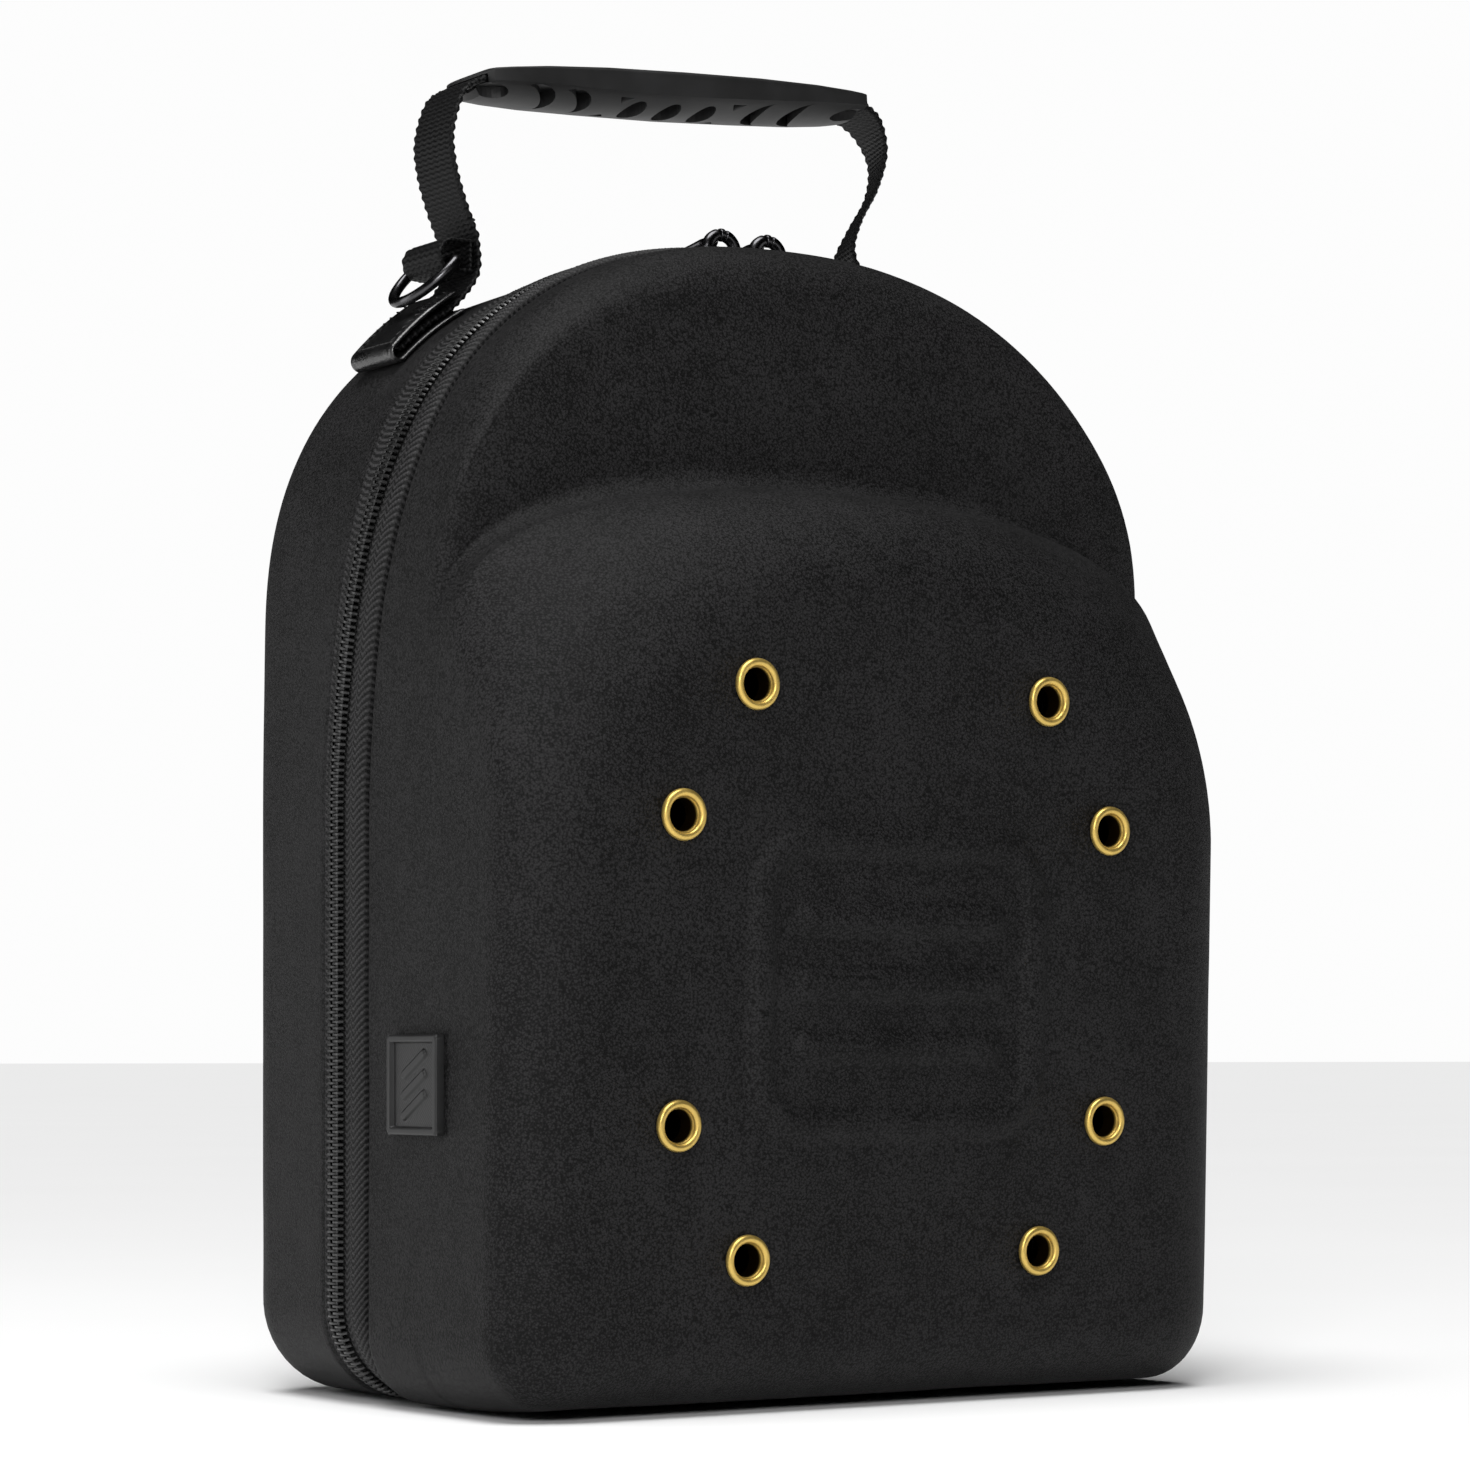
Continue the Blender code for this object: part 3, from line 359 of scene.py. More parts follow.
def metal_material(name, colour, rough, spread, metallic=1.0, barrel_shade=False):
    """Plated metal with smears; when asked, painted shade darkens the inside of a barrel."""
    material, tree, shader = new_material(name, Metallic=metallic)
    place = coordinates(tree)
    smear = noise(tree, place, 220.0, 5.0, 0.65)
    fine = noise(tree, place, 1800.0, 2.0, 0.5)
    dark = tuple(channel * 0.72 for channel in colour)
    tint = ramp(tree, smear, 0.3, 0.7, dark, colour)
    if barrel_shade:
        # Painted shade: brass colour darkened down into the barrel, driven by the height kept in
        # the lie mark.
        lie = node(tree, "ShaderNodeAttribute", attribute_name="lie").outputs["Vector"]
        height = node(tree, "ShaderNodeSeparateXYZ", inputs={"Vector": lie}).outputs[2]
        shade = ramp(tree, height, 0.0, 1.0, (0.03, 0.022, 0.01), (1.0, 1.0, 1.0))
        mixed = node(tree, "ShaderNodeMixRGB", blend_type="MULTIPLY",
                     inputs={"Fac": 1.0, "Color1": tint, "Color2": shade})
        tint = mixed.outputs["Color"]
    tree.links.new(tint, shader.inputs["Base Color"])
    tree.links.new(remap(tree, smear, 0.3, 0.75, rough, rough + spread), shader.inputs["Roughness"])
    bump(tree, shader, fine, 0.01 * MM, 0.5)
    return material


def nylon_material():
    """Smooth, half glossy coil."""
    material, tree, shader = new_material("zip_coil_nylon", Specular_IOR_Level=0.6)
    place = coordinates(tree)
    broad = noise(tree, place, 400.0, 2.0, 0.5)
    tree.links.new(ramp(tree, broad, 0.3, 0.7, (0.004,) * 3, (0.014,) * 3),
                   shader.inputs["Base Color"])
    tree.links.new(remap(tree, broad, 0.3, 0.7, 0.3, 0.45), shader.inputs["Roughness"])
    return material


CLOTH = cloth_material()
TAPE = herringbone_material()
TAPE_DARK = tape_material("zip_tape_shade", 0.6)
THREAD = tape_material("sewing_thread", 1.6)
WEBBING = webbing_material()
GRIP_RUBBER = rubber_material("rubber", 0.010, 0.019, 0.42)
BADGE_RUBBER = rubber_material("badge_rubber", 0.008, 0.015, 0.36)
LEATHER = leather_material()
# The last argument turns on the painted shade inside the eyelet barrels.
BRASS = metal_material("brass", (0.8, 0.56, 0.15), 0.32, 0.16, 0.8, True)
NICKEL = metal_material("black_nickel", (0.085, 0.084, 0.088), 0.2, 0.16)
NYLON = nylon_material()


# Mesh helpers

def finish_piece(name, build, material, replaces=(), body="case", sharp=40):
    """Object from collected grids, on its body and in its material slot."""
    mesh = build.mesh(name)
    mesh.shade_smooth()
    mesh.set_sharp_from_angle(angle=math.radians(sharp))
    piece = bpy.data.objects.new(name, mesh)
    mesh.materials.append(material)
    bpy.context.scene.collection.objects.link(piece)
    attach(piece, body)
    if replaces:
        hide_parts(*replaces)
    return piece


def quads(rows, count, wrap=False, start=0):
    """Faces between successive rings of a grid of vertices."""
    faces = []
    last = rows if wrap else rows - 1
    for row in range(last):
        near = start + row * count
        far = start + ((row + 1) % rows) * count
        for index in range(count):
            after = (index + 1) % count
            faces.append((near + index, near + after, far + after, far + index))
    return faces


class Build:
    """Collects grids of vertices into one mesh."""

    def __init__(self):
        self.points = []
        self.faces = []
        self.lie = []
        self.count = 0

    def add(self, points, faces, lie=None):
        points = np.asarray(points, float).reshape(-1, 3)
        self.points.append(points)
        self.faces += [tuple(index + self.count for index in face) for face in faces]
        self.lie.append(np.zeros_like(points) if lie is None else np.asarray(lie).reshape(-1, 3))
        self.count += len(points)

    def rings(self, rings, wrap=False, caps=True, lie=None):
        rings = np.asarray(rings, float)
        rows, count = rings.shape[:2]
        faces = quads(rows, count, wrap)
        if caps and not wrap:
            faces.append(tuple(range(count - 1, -1, -1)))
            faces.append(tuple((rows - 1) * count + index for index in range(count)))
        self.add(rings, faces, lie)

    def mesh(self, name):
        mesh = bpy.data.meshes.new(name)
        points = np.vstack(self.points)
        mesh.from_pydata(points.tolist(), [], self.faces)
        layer = mesh.attributes.new("lie", "FLOAT_VECTOR", "POINT")
        layer.data.foreach_set("vector", (np.vstack(self.lie) / MM).ravel())
        work = bmesh.new()
        work.from_mesh(mesh)
        bmesh.ops.recalc_face_normals(work, faces=work.faces)
        work.to_mesh(mesh)
        work.free()
        return mesh


def resample(points, count, closed=True):
    """Points at equal steps along a polyline."""
    points = np.asarray(points, float)
    if closed:
        points = np.vstack([points, points[:1]])
    steps = np.linalg.norm(np.diff(points, axis=0), axis=1)
    run = np.concatenate([[0], np.cumsum(steps)])
    targets = np.linspace(0, run[-1], count + 1 if closed else count)
    if closed:
        targets = targets[:-1]
    return np.stack([np.interp(targets, run, points[:, k]) for k in range(points.shape[1])], 1)


def path_length(points, closed=True):
    """Length of a polyline."""
    points = np.asarray(points, float)
    if closed:
        points = np.vstack([points, points[:1]])
    return float(np.linalg.norm(np.diff(points, axis=0), axis=1).sum())


def outline(section, count=ROUND_POINTS):
    """Points (x, z) of a D-shaped section at equal steps, anticlockwise from the bottom."""
    flat = section.side - section.corner
    half = [(flat * t, section.foot) for t in np.linspace(0, 1, 30)[:-1]]
    for angle in np.linspace(0, math.pi / 2, 40)[:-1]:
        half.append((flat + section.corner * math.sin(angle),
                     section.foot + section.corner * (1 - math.cos(angle))))
    low = section.foot + section.corner
    half += [(section.side, low + (section.shoulder - low) * t) for t in np.linspace(0, 1, 40)[:-1]]
    for angle in np.linspace(0, 1, 240)[:-1] ** 1.3 * math.pi / 2:
        half.append(arch_point(section, angle))
    half.append((0.0, section.top))
    whole = half + [(-x, z) for x, z in reversed(half[1:-1])]
    return resample(whole, count)


def arch_point(section, angle, offset=0.0):
    """Point (x, z) of the arch at an angle above the shoulder, moved outward by an offset."""
    share = 2 / section.power
    x = section.side * math.cos(angle) ** share
    z = section.shoulder + (section.top - section.shoulder) * math.sin(angle) ** share
    if not offset:
        return x, z
    rise = section.top - section.shoulder
    slope_x = (x / section.side) ** (section.power - 1) / section.side
    slope_z = ((z - section.shoulder) / rise) ** (section.power - 1) / rise
    length = math.hypot(slope_x, slope_z)
    return x + offset * slope_x / length, z + offset * slope_z / length


def lean(z):
    """How far the arch leans forward at a height."""
    share = np.clip((np.asarray(z) - LEAN_START) / LEAN_SPAN, 0.0, 1.0)
    return LEAN * share * share * (3 - 2 * share)


def place_front(points, ahead, flatness=0.0):
    """Points (x, z) set in space ahead of the zip."""
    x, z = points[:, 0], points[:, 1]
    slant = (1 - flatness) * lean(z) + flatness * FACE_TILT * z
    return np.stack([x, ZIP_Y - ahead - slant, z], 1)


def place_back(points, behind):
    """Points (x, z) set in space behind the zip."""
    x, z = points[:, 0], points[:, 1]
    return np.stack([x, ZIP_Y + behind - lean(z) * (1 - behind / BACK_DEPTH), z], 1)


def zip_section(offset):
    """Section of the case at the zip, moved outward by an offset."""
    return Section(CASE_WIDTH / 2 - SHELL_STEP + offset, SHELL_STEP - offset,
                   CASE_HEIGHT - SHELL_STEP + offset, SHOULDER_HEIGHT,
                   BACK_CORNER + offset, ARCH_POWER)


def back_section(behind):
    """Section of the back half at a depth behind the zip."""
    share = behind / BACK_DEPTH
    round_start = BACK_DEPTH - BACK_EDGE_ROUND
    inset = 0.0
    if behind > round_start:
        over = (behind - round_start) / BACK_EDGE_ROUND
        inset = BACK_EDGE_ROUND * (1 - math.sqrt(max(1 - over * over, 0.0)))
    draft = BACK_DRAFT * share
    return Section(CASE_WIDTH / 2 - SHELL_STEP / 2 - draft - inset, inset,
                   CASE_HEIGHT - SHELL_STEP - draft - inset,
                   SHOULDER_HEIGHT + BACK_SHOULDER_RISE * share,
                   max(BACK_CORNER - inset * 0.7, WALL), ARCH_POWER)


def round_inset(width, depth, remaining):
    """Inset of a rounded edge where a depth remains to its end."""
    over = max(1 - remaining / depth, 0.0)
    return width * (1 - math.sqrt(max(1 - over * over, 0.0)))


def foot_height(ahead):
    """Height of the front foot above the ground."""
    share = max(ahead - FOOT_FLAT, 0.0) / (FRONT_DEPTH - FOOT_FLAT)
    return FOOT_RISE * share * share


def face_matrix(x, z):
    """Frame on the front face: local Z points out of the face and local Y up along it."""
    angle = math.atan(FACE_TILT)
    outward = Vector((0, -math.cos(angle), -math.sin(angle)))
    up = Vector((0, -math.sin(angle), math.cos(angle)))
    turn = Matrix((Vector((1, 0, 0)), up, outward)).transposed().to_4x4()
    return Matrix.Translation(Vector((x, ZIP_Y - FRONT_DEPTH - FACE_TILT * z, z))) @ turn


def over_arch(z):
    """How far a height lies up on the arch, where the tape shows wider behind the coil."""
    return smoothstep(200 * MM, 262 * MM, z)


def grid_normals(rings):
    """Normals of a grid of rings that close on themselves."""
    around = np.roll(rings, -1, 1) - np.roll(rings, 1, 1)
    along = np.gradient(rings, axis=0)
    normals = np.cross(around, along)
    normals /= np.maximum(np.linalg.norm(normals, axis=2, keepdims=True), 1e-12)
    outward = (normals[0] * (rings[0] - rings[0].mean(0))).sum()
    return normals if outward > 0 else -normals


def smoothstep(low, high, value):
    """Smooth share from 0 to 1 between two values."""
    share = np.clip((value - low) / (high - low), 0.0, 1.0)
    return share * share * (3 - 2 * share)


def ripple(points, size):
    """Slow unevenness of moulded cloth, from a few crossed waves."""
    x, y, z = points[..., 0] / MM, points[..., 1] / MM, points[..., 2] / MM
    waves = np.sin(x / 17 + z / 31) * np.sin(z / 23 - y / 19 + 1.3)
    waves += 0.6 * np.sin(x / 9.7 - z / 13.1 + 0.7) * np.sin(y / 11.3 + z / 15.7)
    return size * waves


def hollow(build, outer, wall, keep):
    """Closed hollow shell from rings that run from the rim to a small last ring."""
    outward = grid_normals(outer)
    inner = (outer - wall * outward)[keep][::-1]
    count = outer.shape[1]
    rings = np.concatenate([inner, outer])
    faces = quads(len(rings), count)
    points = rings.reshape(-1, 3)
    ends = []
    for row in (0, len(rings) - 1):
        centre = rings[row].mean(0)
        ends.append(centre)
        hub = len(points) + len(ends) - 1
        faces += [(row * count + i, row * count + (i + 1) % count, hub) for i in range(count)]
    build.add(np.vstack([points, ends]), faces)


# Shells

def make_back_shell():
    """Padded back half. Its cloth turns in at the rim beside the zip."""
    rim = COIL_HALF + GAP + BACK_TAPE_WIDTH + GAP
    straight = BACK_DEPTH - BACK_EDGE_ROUND
    depths = list(np.linspace(rim, straight, 22)[:-1])
    angles = np.linspace(0, math.pi / 2, 20)
    depths += [straight + BACK_EDGE_ROUND * math.sin(a) for a in angles]
    rings = []
    for depth in depths:
        turned = max(0.0, 1 - (depth - rim) / (1.6 * MM))
        section = back_section(depth)
        section = section._replace(side=section.side - 0.7 * MM * turned ** 2,
                                   foot=section.foot + 0.7 * MM * turned ** 2,
                                   top=section.top - 0.7 * MM * turned ** 2)
        points = place_back(outline(section), depth)
        near = max(0.0, 1 - (depth - rim) / (14 * MM))
        points[:, 1] += ARCH_TAPE * near * over_arch(points[:, 2])
        rings.append(points)
    last = rings[-1]
    centre = np.array([0.0, last[0, 1], 0.14])
    for share in np.linspace(0, 1, 22)[1:-1]:
        rings.append(centre + (last - centre) * (1 - share))
    rings = np.array(rings)
    rings += grid_normals(rings) * np.minimum(ripple(rings, 0.12 * MM), 0.0)[..., None]
    build = Build()
    hollow(build, rings, WALL, slice(0, len(rings), 3))
    finish_piece("back_shell_cloth", build, CLOTH,
                 ("back_shell",))


def front_rings():
    """Rings of the front half, from the rim over the brim level and crease to the face."""
    side = CASE_WIDTH / 2 - SHELL_STEP
    top = CASE_HEIGHT - 1.5 * SHELL_STEP
    rim = COIL_HALF + GAP + FRONT_TAPE_WIDTH + GAP
    rings = []

    def brim(ahead, height, tuck=0.0):
        section = Section(side - tuck, foot_height(ahead) + tuck, height - tuck, SHOULDER_HEIGHT,
                          FRONT_CORNER, ARCH_POWER)
        rings.append(place_front(outline(section), ahead))

    for share in np.linspace(0, 1, 7):
        brim(rim + 3.2 * MM * share, top, 2.6 * MM * (1 - math.sqrt(1 - (1 - share) ** 2)))
    for ahead in np.linspace(rim + 3.2 * MM, BRIM_DEPTH - BRIM_ROUND, 8)[1:-1]:
        brim(ahead, top)
    for angle in np.linspace(0, math.pi / 2, 20):
        brim(BRIM_DEPTH - BRIM_ROUND * (1 - math.sin(angle)),
             top - BRIM_ROUND * (1 - math.cos(angle)))
    low = top - BRIM_ROUND
    high = CROWN_TOP + CREASE_ROUND
    for share in np.linspace(0, 1, 30)[1:-1]:
        brim(BRIM_DEPTH + BRIM_SLOPE * share, low + (high - low) * share)
    for angle in np.linspace(0, math.pi / 2, 14):
        brim(BRIM_DEPTH + BRIM_SLOPE + CREASE_ROUND * (1 - math.cos(angle)),
             CROWN_TOP + CREASE_ROUND * (1 - math.sin(angle)))
    start = BRIM_DEPTH + BRIM_SLOPE + CREASE_ROUND
    for angle in np.linspace(0, math.pi / 2, 34)[1:]:
        share = math.sin(angle)
        ahead = start + (FRONT_DEPTH - start) * share
        remaining = FRONT_DEPTH - ahead
        inset = round_inset(FACE_SIDE_ROUND, FACE_EDGE_DEPTH, remaining)
        foot = foot_height(ahead) + round_inset(FACE_FOOT_ROUND, FACE_FOOT_ROUND, remaining)
        section = Section(side - inset, foot, FACE_TOP + (CROWN_TOP - FACE_TOP) * math.cos(angle),
                          SHOULDER_HEIGHT + (FACE_SHOULDER - SHOULDER_HEIGHT) * share,
                          max(FRONT_CORNER - 0.4 * inset, WALL),
                          ARCH_POWER + (FACE_POWER - ARCH_POWER) * share)
        rings.append(place_front(outline(section), ahead, share))
    last = rings[-1]
    middle_z = MOTIF_CENTRE_Z
    centre = np.array([0.0, ZIP_Y - FRONT_DEPTH - FACE_TILT * middle_z, middle_z])
    for share in np.linspace(0, 1, FACE_RINGS)[1:-1]:
        rings.append(centre + (last - centre) * (1 - share))
    return np.array(rings)


def box_distance(x, z, half_x, half_z, corner):
    """Signed distance to a rounded rectangle around the origin."""
    qx = np.abs(x) - (half_x - corner)
    qz = np.abs(z) - (half_z - corner)
    outside = np.hypot(np.maximum(qx, 0), np.maximum(qz, 0))
    return outside + np.minimum(np.maximum(qx, qz), 0) - corner


def relief(x, z):
    """Height of the moulded motif: a rounded frame around level ribs."""
    up = z - MOTIF_CENTRE_Z
    half = MOTIF_RIB / 2
    frame_edge = np.abs(box_distance(x, up, MOTIF_WIDTH / 2 - half, MOTIF_HEIGHT / 2 - half,
                                     MOTIF_CORNER - half)) - half
    nearest = frame_edge
    pitch = (MOTIF_HEIGHT - 2 * MOTIF_RIB) / (MOTIF_RIB_COUNT + 1)
    for number in range(MOTIF_RIB_COUNT):
        middle = (number + 1) * pitch - (MOTIF_HEIGHT / 2 - MOTIF_RIB)
        bar = box_distance(x, up - middle, MOTIF_WIDTH / 2 - 2 * MOTIF_RIB, half, half * 0.9)
        nearest = np.minimum(nearest, bar)
    return MOTIF_RISE * (1 - smoothstep(-2.4 * MM, 1.5 * MM, nearest))


def eyelet_places():
    """Middles (x, z) of the eyelets, row by row."""
    widths = (EYELET_INNER_X, EYELET_OUTER_X, EYELET_OUTER_X, EYELET_INNER_X)
    for width, z in zip(widths, EYELET_ROWS):
        yield -width, z
        yield width, z


def make_front_shell():
    """Padded front half with the crown, the soft motif and cloth drawn in at the eyelets."""
    rings = front_rings()
    normals = grid_normals(rings)
    x, y, z = rings[..., 0], rings[..., 1], rings[..., 2]
    face = smoothstep(FRONT_DEPTH - 4 * MM, FRONT_DEPTH - 0.5 * MM, ZIP_Y - FACE_TILT * z - y)
    rise = relief(x, z) * face
    drawn = np.zeros_like(x)
    for eye_x, eye_z in eyelet_places():
        away = np.hypot(x - eye_x, z - eye_z)
        drawn += 0.45 * MM * (1 - smoothstep(EYELET_FLANGE * 0.9, EYELET_FLANGE * 2.1, away))
    calm = 1 - np.clip(drawn / (0.45 * MM), 0, 1)
    move = rise - drawn * face + calm * np.minimum(ripple(rings, 0.14 * MM), 0.0)
    rings = rings + normals * move[..., None]
    build = Build()
    keep = [row for row in range(0, len(rings), 6)]
    hollow(build, rings, WALL, keep)
    piece = finish_piece("front_shell_cloth", build, CLOTH, ("front_shell",))
    cut_eyelet_holes(piece)


def cut_eyelet_holes(piece):
    """Holes through the padded front for the eyelet barrels."""
    tool = Build()
    radius = EYELET_BORE + EYELET_WALL + GAP
    for x, z in eyelet_places():
        seat = face_matrix(x, z)
        ends = []
        for height in (-2 * WALL, WALL):
            ends.append([seat @ Vector((radius * math.cos(t), radius * math.sin(t), height))
                         for t in np.linspace(0, 2 * math.pi, 33)[:-1]])
        tool.rings(ends)
    cut(piece, tool, "hole_tool", False)


def cut(piece, tool, name, crossing):
    """Take a tool's volume out of a piece; crossing says that the tool's bodies overlap."""
    cutter = bpy.data.objects.new(name, tool.mesh(name))
    bpy.context.scene.collection.objects.link(cutter)
    step = piece.modifiers.new("Cuts", "BOOLEAN")
    step.operation = "DIFFERENCE"
    step.solver = "EXACT"
    step.use_self = crossing
    step.object = cutter
    apply_modifiers(piece)
    bpy.data.objects.remove(cutter)


def apply_modifiers(piece):
    """Keep the result of the modifiers as the mesh."""
    graph = bpy.context.evaluated_depsgraph_get()
    graph.update()
    mesh = bpy.data.meshes.new_from_object(piece.evaluated_get(graph))
    piece.modifiers.clear()
    piece.data = mesh


# Zip

def zip_line(offset, ahead, count):
    """Evenly spaced points of the zip line with outward and forward directions."""
    flat = outline(zip_section(offset), count)
    points = place_front(flat, ahead) if ahead >= 0 else place_back(flat, -ahead)
    run = np.roll(points, -1, 0) - np.roll(points, 1, 0)
    run /= np.linalg.norm(run, axis=1, keepdims=True)
    ahead_way = np.tile([0.0, -1.0, 0.0], (count, 1))
    out = np.cross(ahead_way, run)
    out /= np.linalg.norm(out, axis=1, keepdims=True)
    if out[0, 2] > 0:
        out = -out
    forward = np.cross(run, out)
    forward /= np.linalg.norm(forward, axis=1, keepdims=True)
    forward *= np.sign(-forward[:, 1:2])
    return points, run, out, forward


def make_band(name, profile, count, material, replaces, height=None, widen=0.0):
    """Closed band along the zip; profile holds (ahead, offset) pairs."""
    base = outline(zip_section(0.0), count)
    length = path_length(base)
    along = np.linspace(0, length, count + 1)[:-1]
    rings = []
    lie = []
    for ahead, offset in profile:
        flat = outline(zip_section(offset), count)
        points = place_front(flat, ahead) if ahead >= 0 else place_back(flat, -ahead)
        if widen and ahead < -(COIL_HALF + 2 * GAP):
            points[:, 1] += widen * over_arch(points[:, 2])
        rings.append(points)
        lie.append(np.stack([np.full(count, ahead), along, np.zeros(count)], 1))
    rings = np.array(rings)
    lie = np.array(lie)
    if height is not None:
        out = zip_line(0.0, profile[0][0], count)[2]
        heads = np.array([pair[0] for pair in profile])[:, None]
        lifts = np.array([pair[1] for pair in profile])[:, None]
        rings = rings + out[None] * height(heads, lifts, along[None])[..., None]
    build = Build()
    build.rings(rings, wrap=True, lie=lie)
    return finish_piece(name, build, material, replaces)


def make_zip():
    """Two tapes, the bed of the coil, the coil and its stitching."""
    length = path_length(outline(zip_section(0.0), 1200))
    back = -(COIL_HALF + GAP)

    def back_ribs(heads, lifts, along):
        on_top = lifts > -1.0 * MM
        return np.where(on_top, 0.1 * MM * np.sin(2 * math.pi * along / (0.9 * MM)), 0.0)

    make_band("zip_tape_back_cloth", [
        (back - BACK_TAPE_WIDTH, -TAPE_THICK), (back, -TAPE_THICK), (back, -GAP),
        (back - BACK_TAPE_WIDTH * 0.3, 0.0), (back - BACK_TAPE_WIDTH * 0.7, GAP),
        (back - BACK_TAPE_WIDTH, GAP * 0.6)], 2400, TAPE, ("zip_tape_back",), back_ribs,
        ARCH_TAPE)

    front = COIL_HALF + GAP
    end = front + FRONT_TAPE_WIDTH
    middle = end - PIPING_RADIUS
    crest = []
    for turn in np.linspace(0, math.pi, 15):
        crest.append((middle + PIPING_RADIUS * math.cos(turn),
                      -TAPE_THICK / 3 + (TAPE_THICK / 3 + COIL_RISE * 1.15) * math.sin(turn)))
    profile = [(front, -TAPE_THICK), (end, -TAPE_THICK)] + crest
    profile += [(front + 2.6 * MM, -TAPE_THICK / 3), (front + 1.4 * MM, -TAPE_THICK / 3),
                (front, -TAPE_THICK / 3)]

    def herringbone(heads, lifts, along):
        over = np.abs(heads - middle)
        wave = np.sin(2 * math.pi * (along + over * HERRING_SLANT) / HERRING_PITCH)
        on_piping = (over < PIPING_RADIUS * 1.02) & (lifts > -TAPE_THICK * 0.9)
        on_tape = (heads < middle - PIPING_RADIUS) & (lifts > -TAPE_THICK * 0.9)
        ribs = 0.05 * MM * np.sin(2 * math.pi * along / (1.1 * MM))
        return np.where(on_piping, 0.2 * MM * wave, np.where(on_tape, ribs, 0.0))

    make_band("zip_tape_front_cloth", profile, 3000, TAPE, ("zip_tape_front",),
              herringbone)

    make_band("zip_coil_bed", [
        (-COIL_HALF, -TAPE_THICK), (COIL_HALF, -TAPE_THICK), (COIL_HALF, COIL_BED),
        (-COIL_HALF, COIL_BED),
    ], 900, TAPE_DARK, ())

    count = int(round(length / TOOTH_PITCH))
    points, run, out, forward = zip_line(COIL_BED, 0.0, 2 * count)
    teeth = Build()
    cords = Build()
    section = np.linspace(0, 2 * math.pi, 7)[:-1]
    spine = np.array(TOOTH_SPINE) * MM
    for index in range(2 * count):
        side = 1 if index % 2 else -1
        here, way, up, ahead = points[index], run[index], out[index], forward[index]
        rings = []
        for number, (head, lift) in enumerate(spine):
            near = spine[max(number - 1, 0)]
            far = spine[min(number + 1, len(spine) - 1)]
            turn_to = (far - near) / np.linalg.norm(far - near)
            normal = -turn_to[1] * ahead * side + turn_to[0] * up
            centre = here + ahead * side * head + up * lift
            size = TOOTH_WIRE * TOOTH_SWELL[number]
            rings.append(centre + size * (np.cos(section)[:, None] * way * 0.85
                                          + np.sin(section)[:, None] * normal))
        teeth.rings(rings)
        if side > 0:
            for row in (-1.9 * MM, 1.9 * MM):
                middle_point = here + way * TOOTH_PITCH * 0.25 + ahead * row + up * 1.62 * MM
                rings = []
                for share, size in ((-1, 0.15), (-0.55, 0.8), (0, 1.0), (0.55, 0.8), (1, 0.15)):
                    rings.append(middle_point + way * share * TOOTH_PITCH * 0.52
                                 + ahead * share * 0.18 * MM
                                 + 0.42 * MM * size * (np.cos(section)[:, None] * ahead
                                                       + 0.7 * np.sin(section)[:, None] * up))
                cords.rings(rings)
    finish_piece("zip_teeth", teeth, NYLON, ("zip_coil",))
    finish_piece("zip_stitching", cords, THREAD)


# Eyelets and badge

def lathe(seat, profile, segments=56):
    """Rings of a profile (radius, height) around a seat."""
    rings = []
    for radius, height in profile:
        rings.append([seat @ Vector((radius * math.cos(t), radius * math.sin(t), height))
                      for t in np.linspace(0, 2 * math.pi, segments + 1)[:-1]])
    return rings


def make_eyelets():
    """Brass eyelets with a rolled flange and a washer inside, with painted shade down the barrel.
    """
    barrel = EYELET_BORE + EYELET_WALL
    crest = (EYELET_BORE + 0.25 * MM + EYELET_FLANGE) / 2
    half = (EYELET_FLANGE - EYELET_BORE - 0.25 * MM) / 2
    profile = [(EYELET_BORE, -WALL - 1.1 * MM), (EYELET_BORE, -0.8 * MM), (EYELET_BORE, -0.25 * MM),
               (EYELET_BORE + 0.08 * MM, 0.2 * MM)]
    for turn in np.linspace(math.pi * 0.97, 0, 13):
        profile.append((crest + half * math.cos(turn),
                        0.15 * MM + (EYELET_PROUD - 0.15 * MM) * math.sin(turn) ** 0.8))
    profile += [(EYELET_FLANGE - 0.25 * MM, -0.25 * MM), (barrel, -0.25 * MM),
                (barrel, -WALL - GAP), (EYELET_FLANGE * 0.93, -WALL - GAP),
                (EYELET_FLANGE * 0.93, -WALL - 0.8 * MM), (barrel, -WALL - 1.1 * MM)]
    # Painted shade marks: 0 down the barrel, 1 on the flange; the brass turns dark where the mark
    # is low.
    marks = [[(0.0, 0.0, MM * float(smoothstep(-0.7 * MM, 0.1 * MM, height)))] * 56
             for radius, height in profile]
    for number, (x, z) in enumerate(eyelet_places(), start=1):
        build = Build()
        build.rings(lathe(face_matrix(x, z), profile), wrap=True, lie=marks)
        name = f"eyelet_{number}_brass"
        finish_piece(name, build, BRASS, (f"eyelet_{number}",), sharp=60)


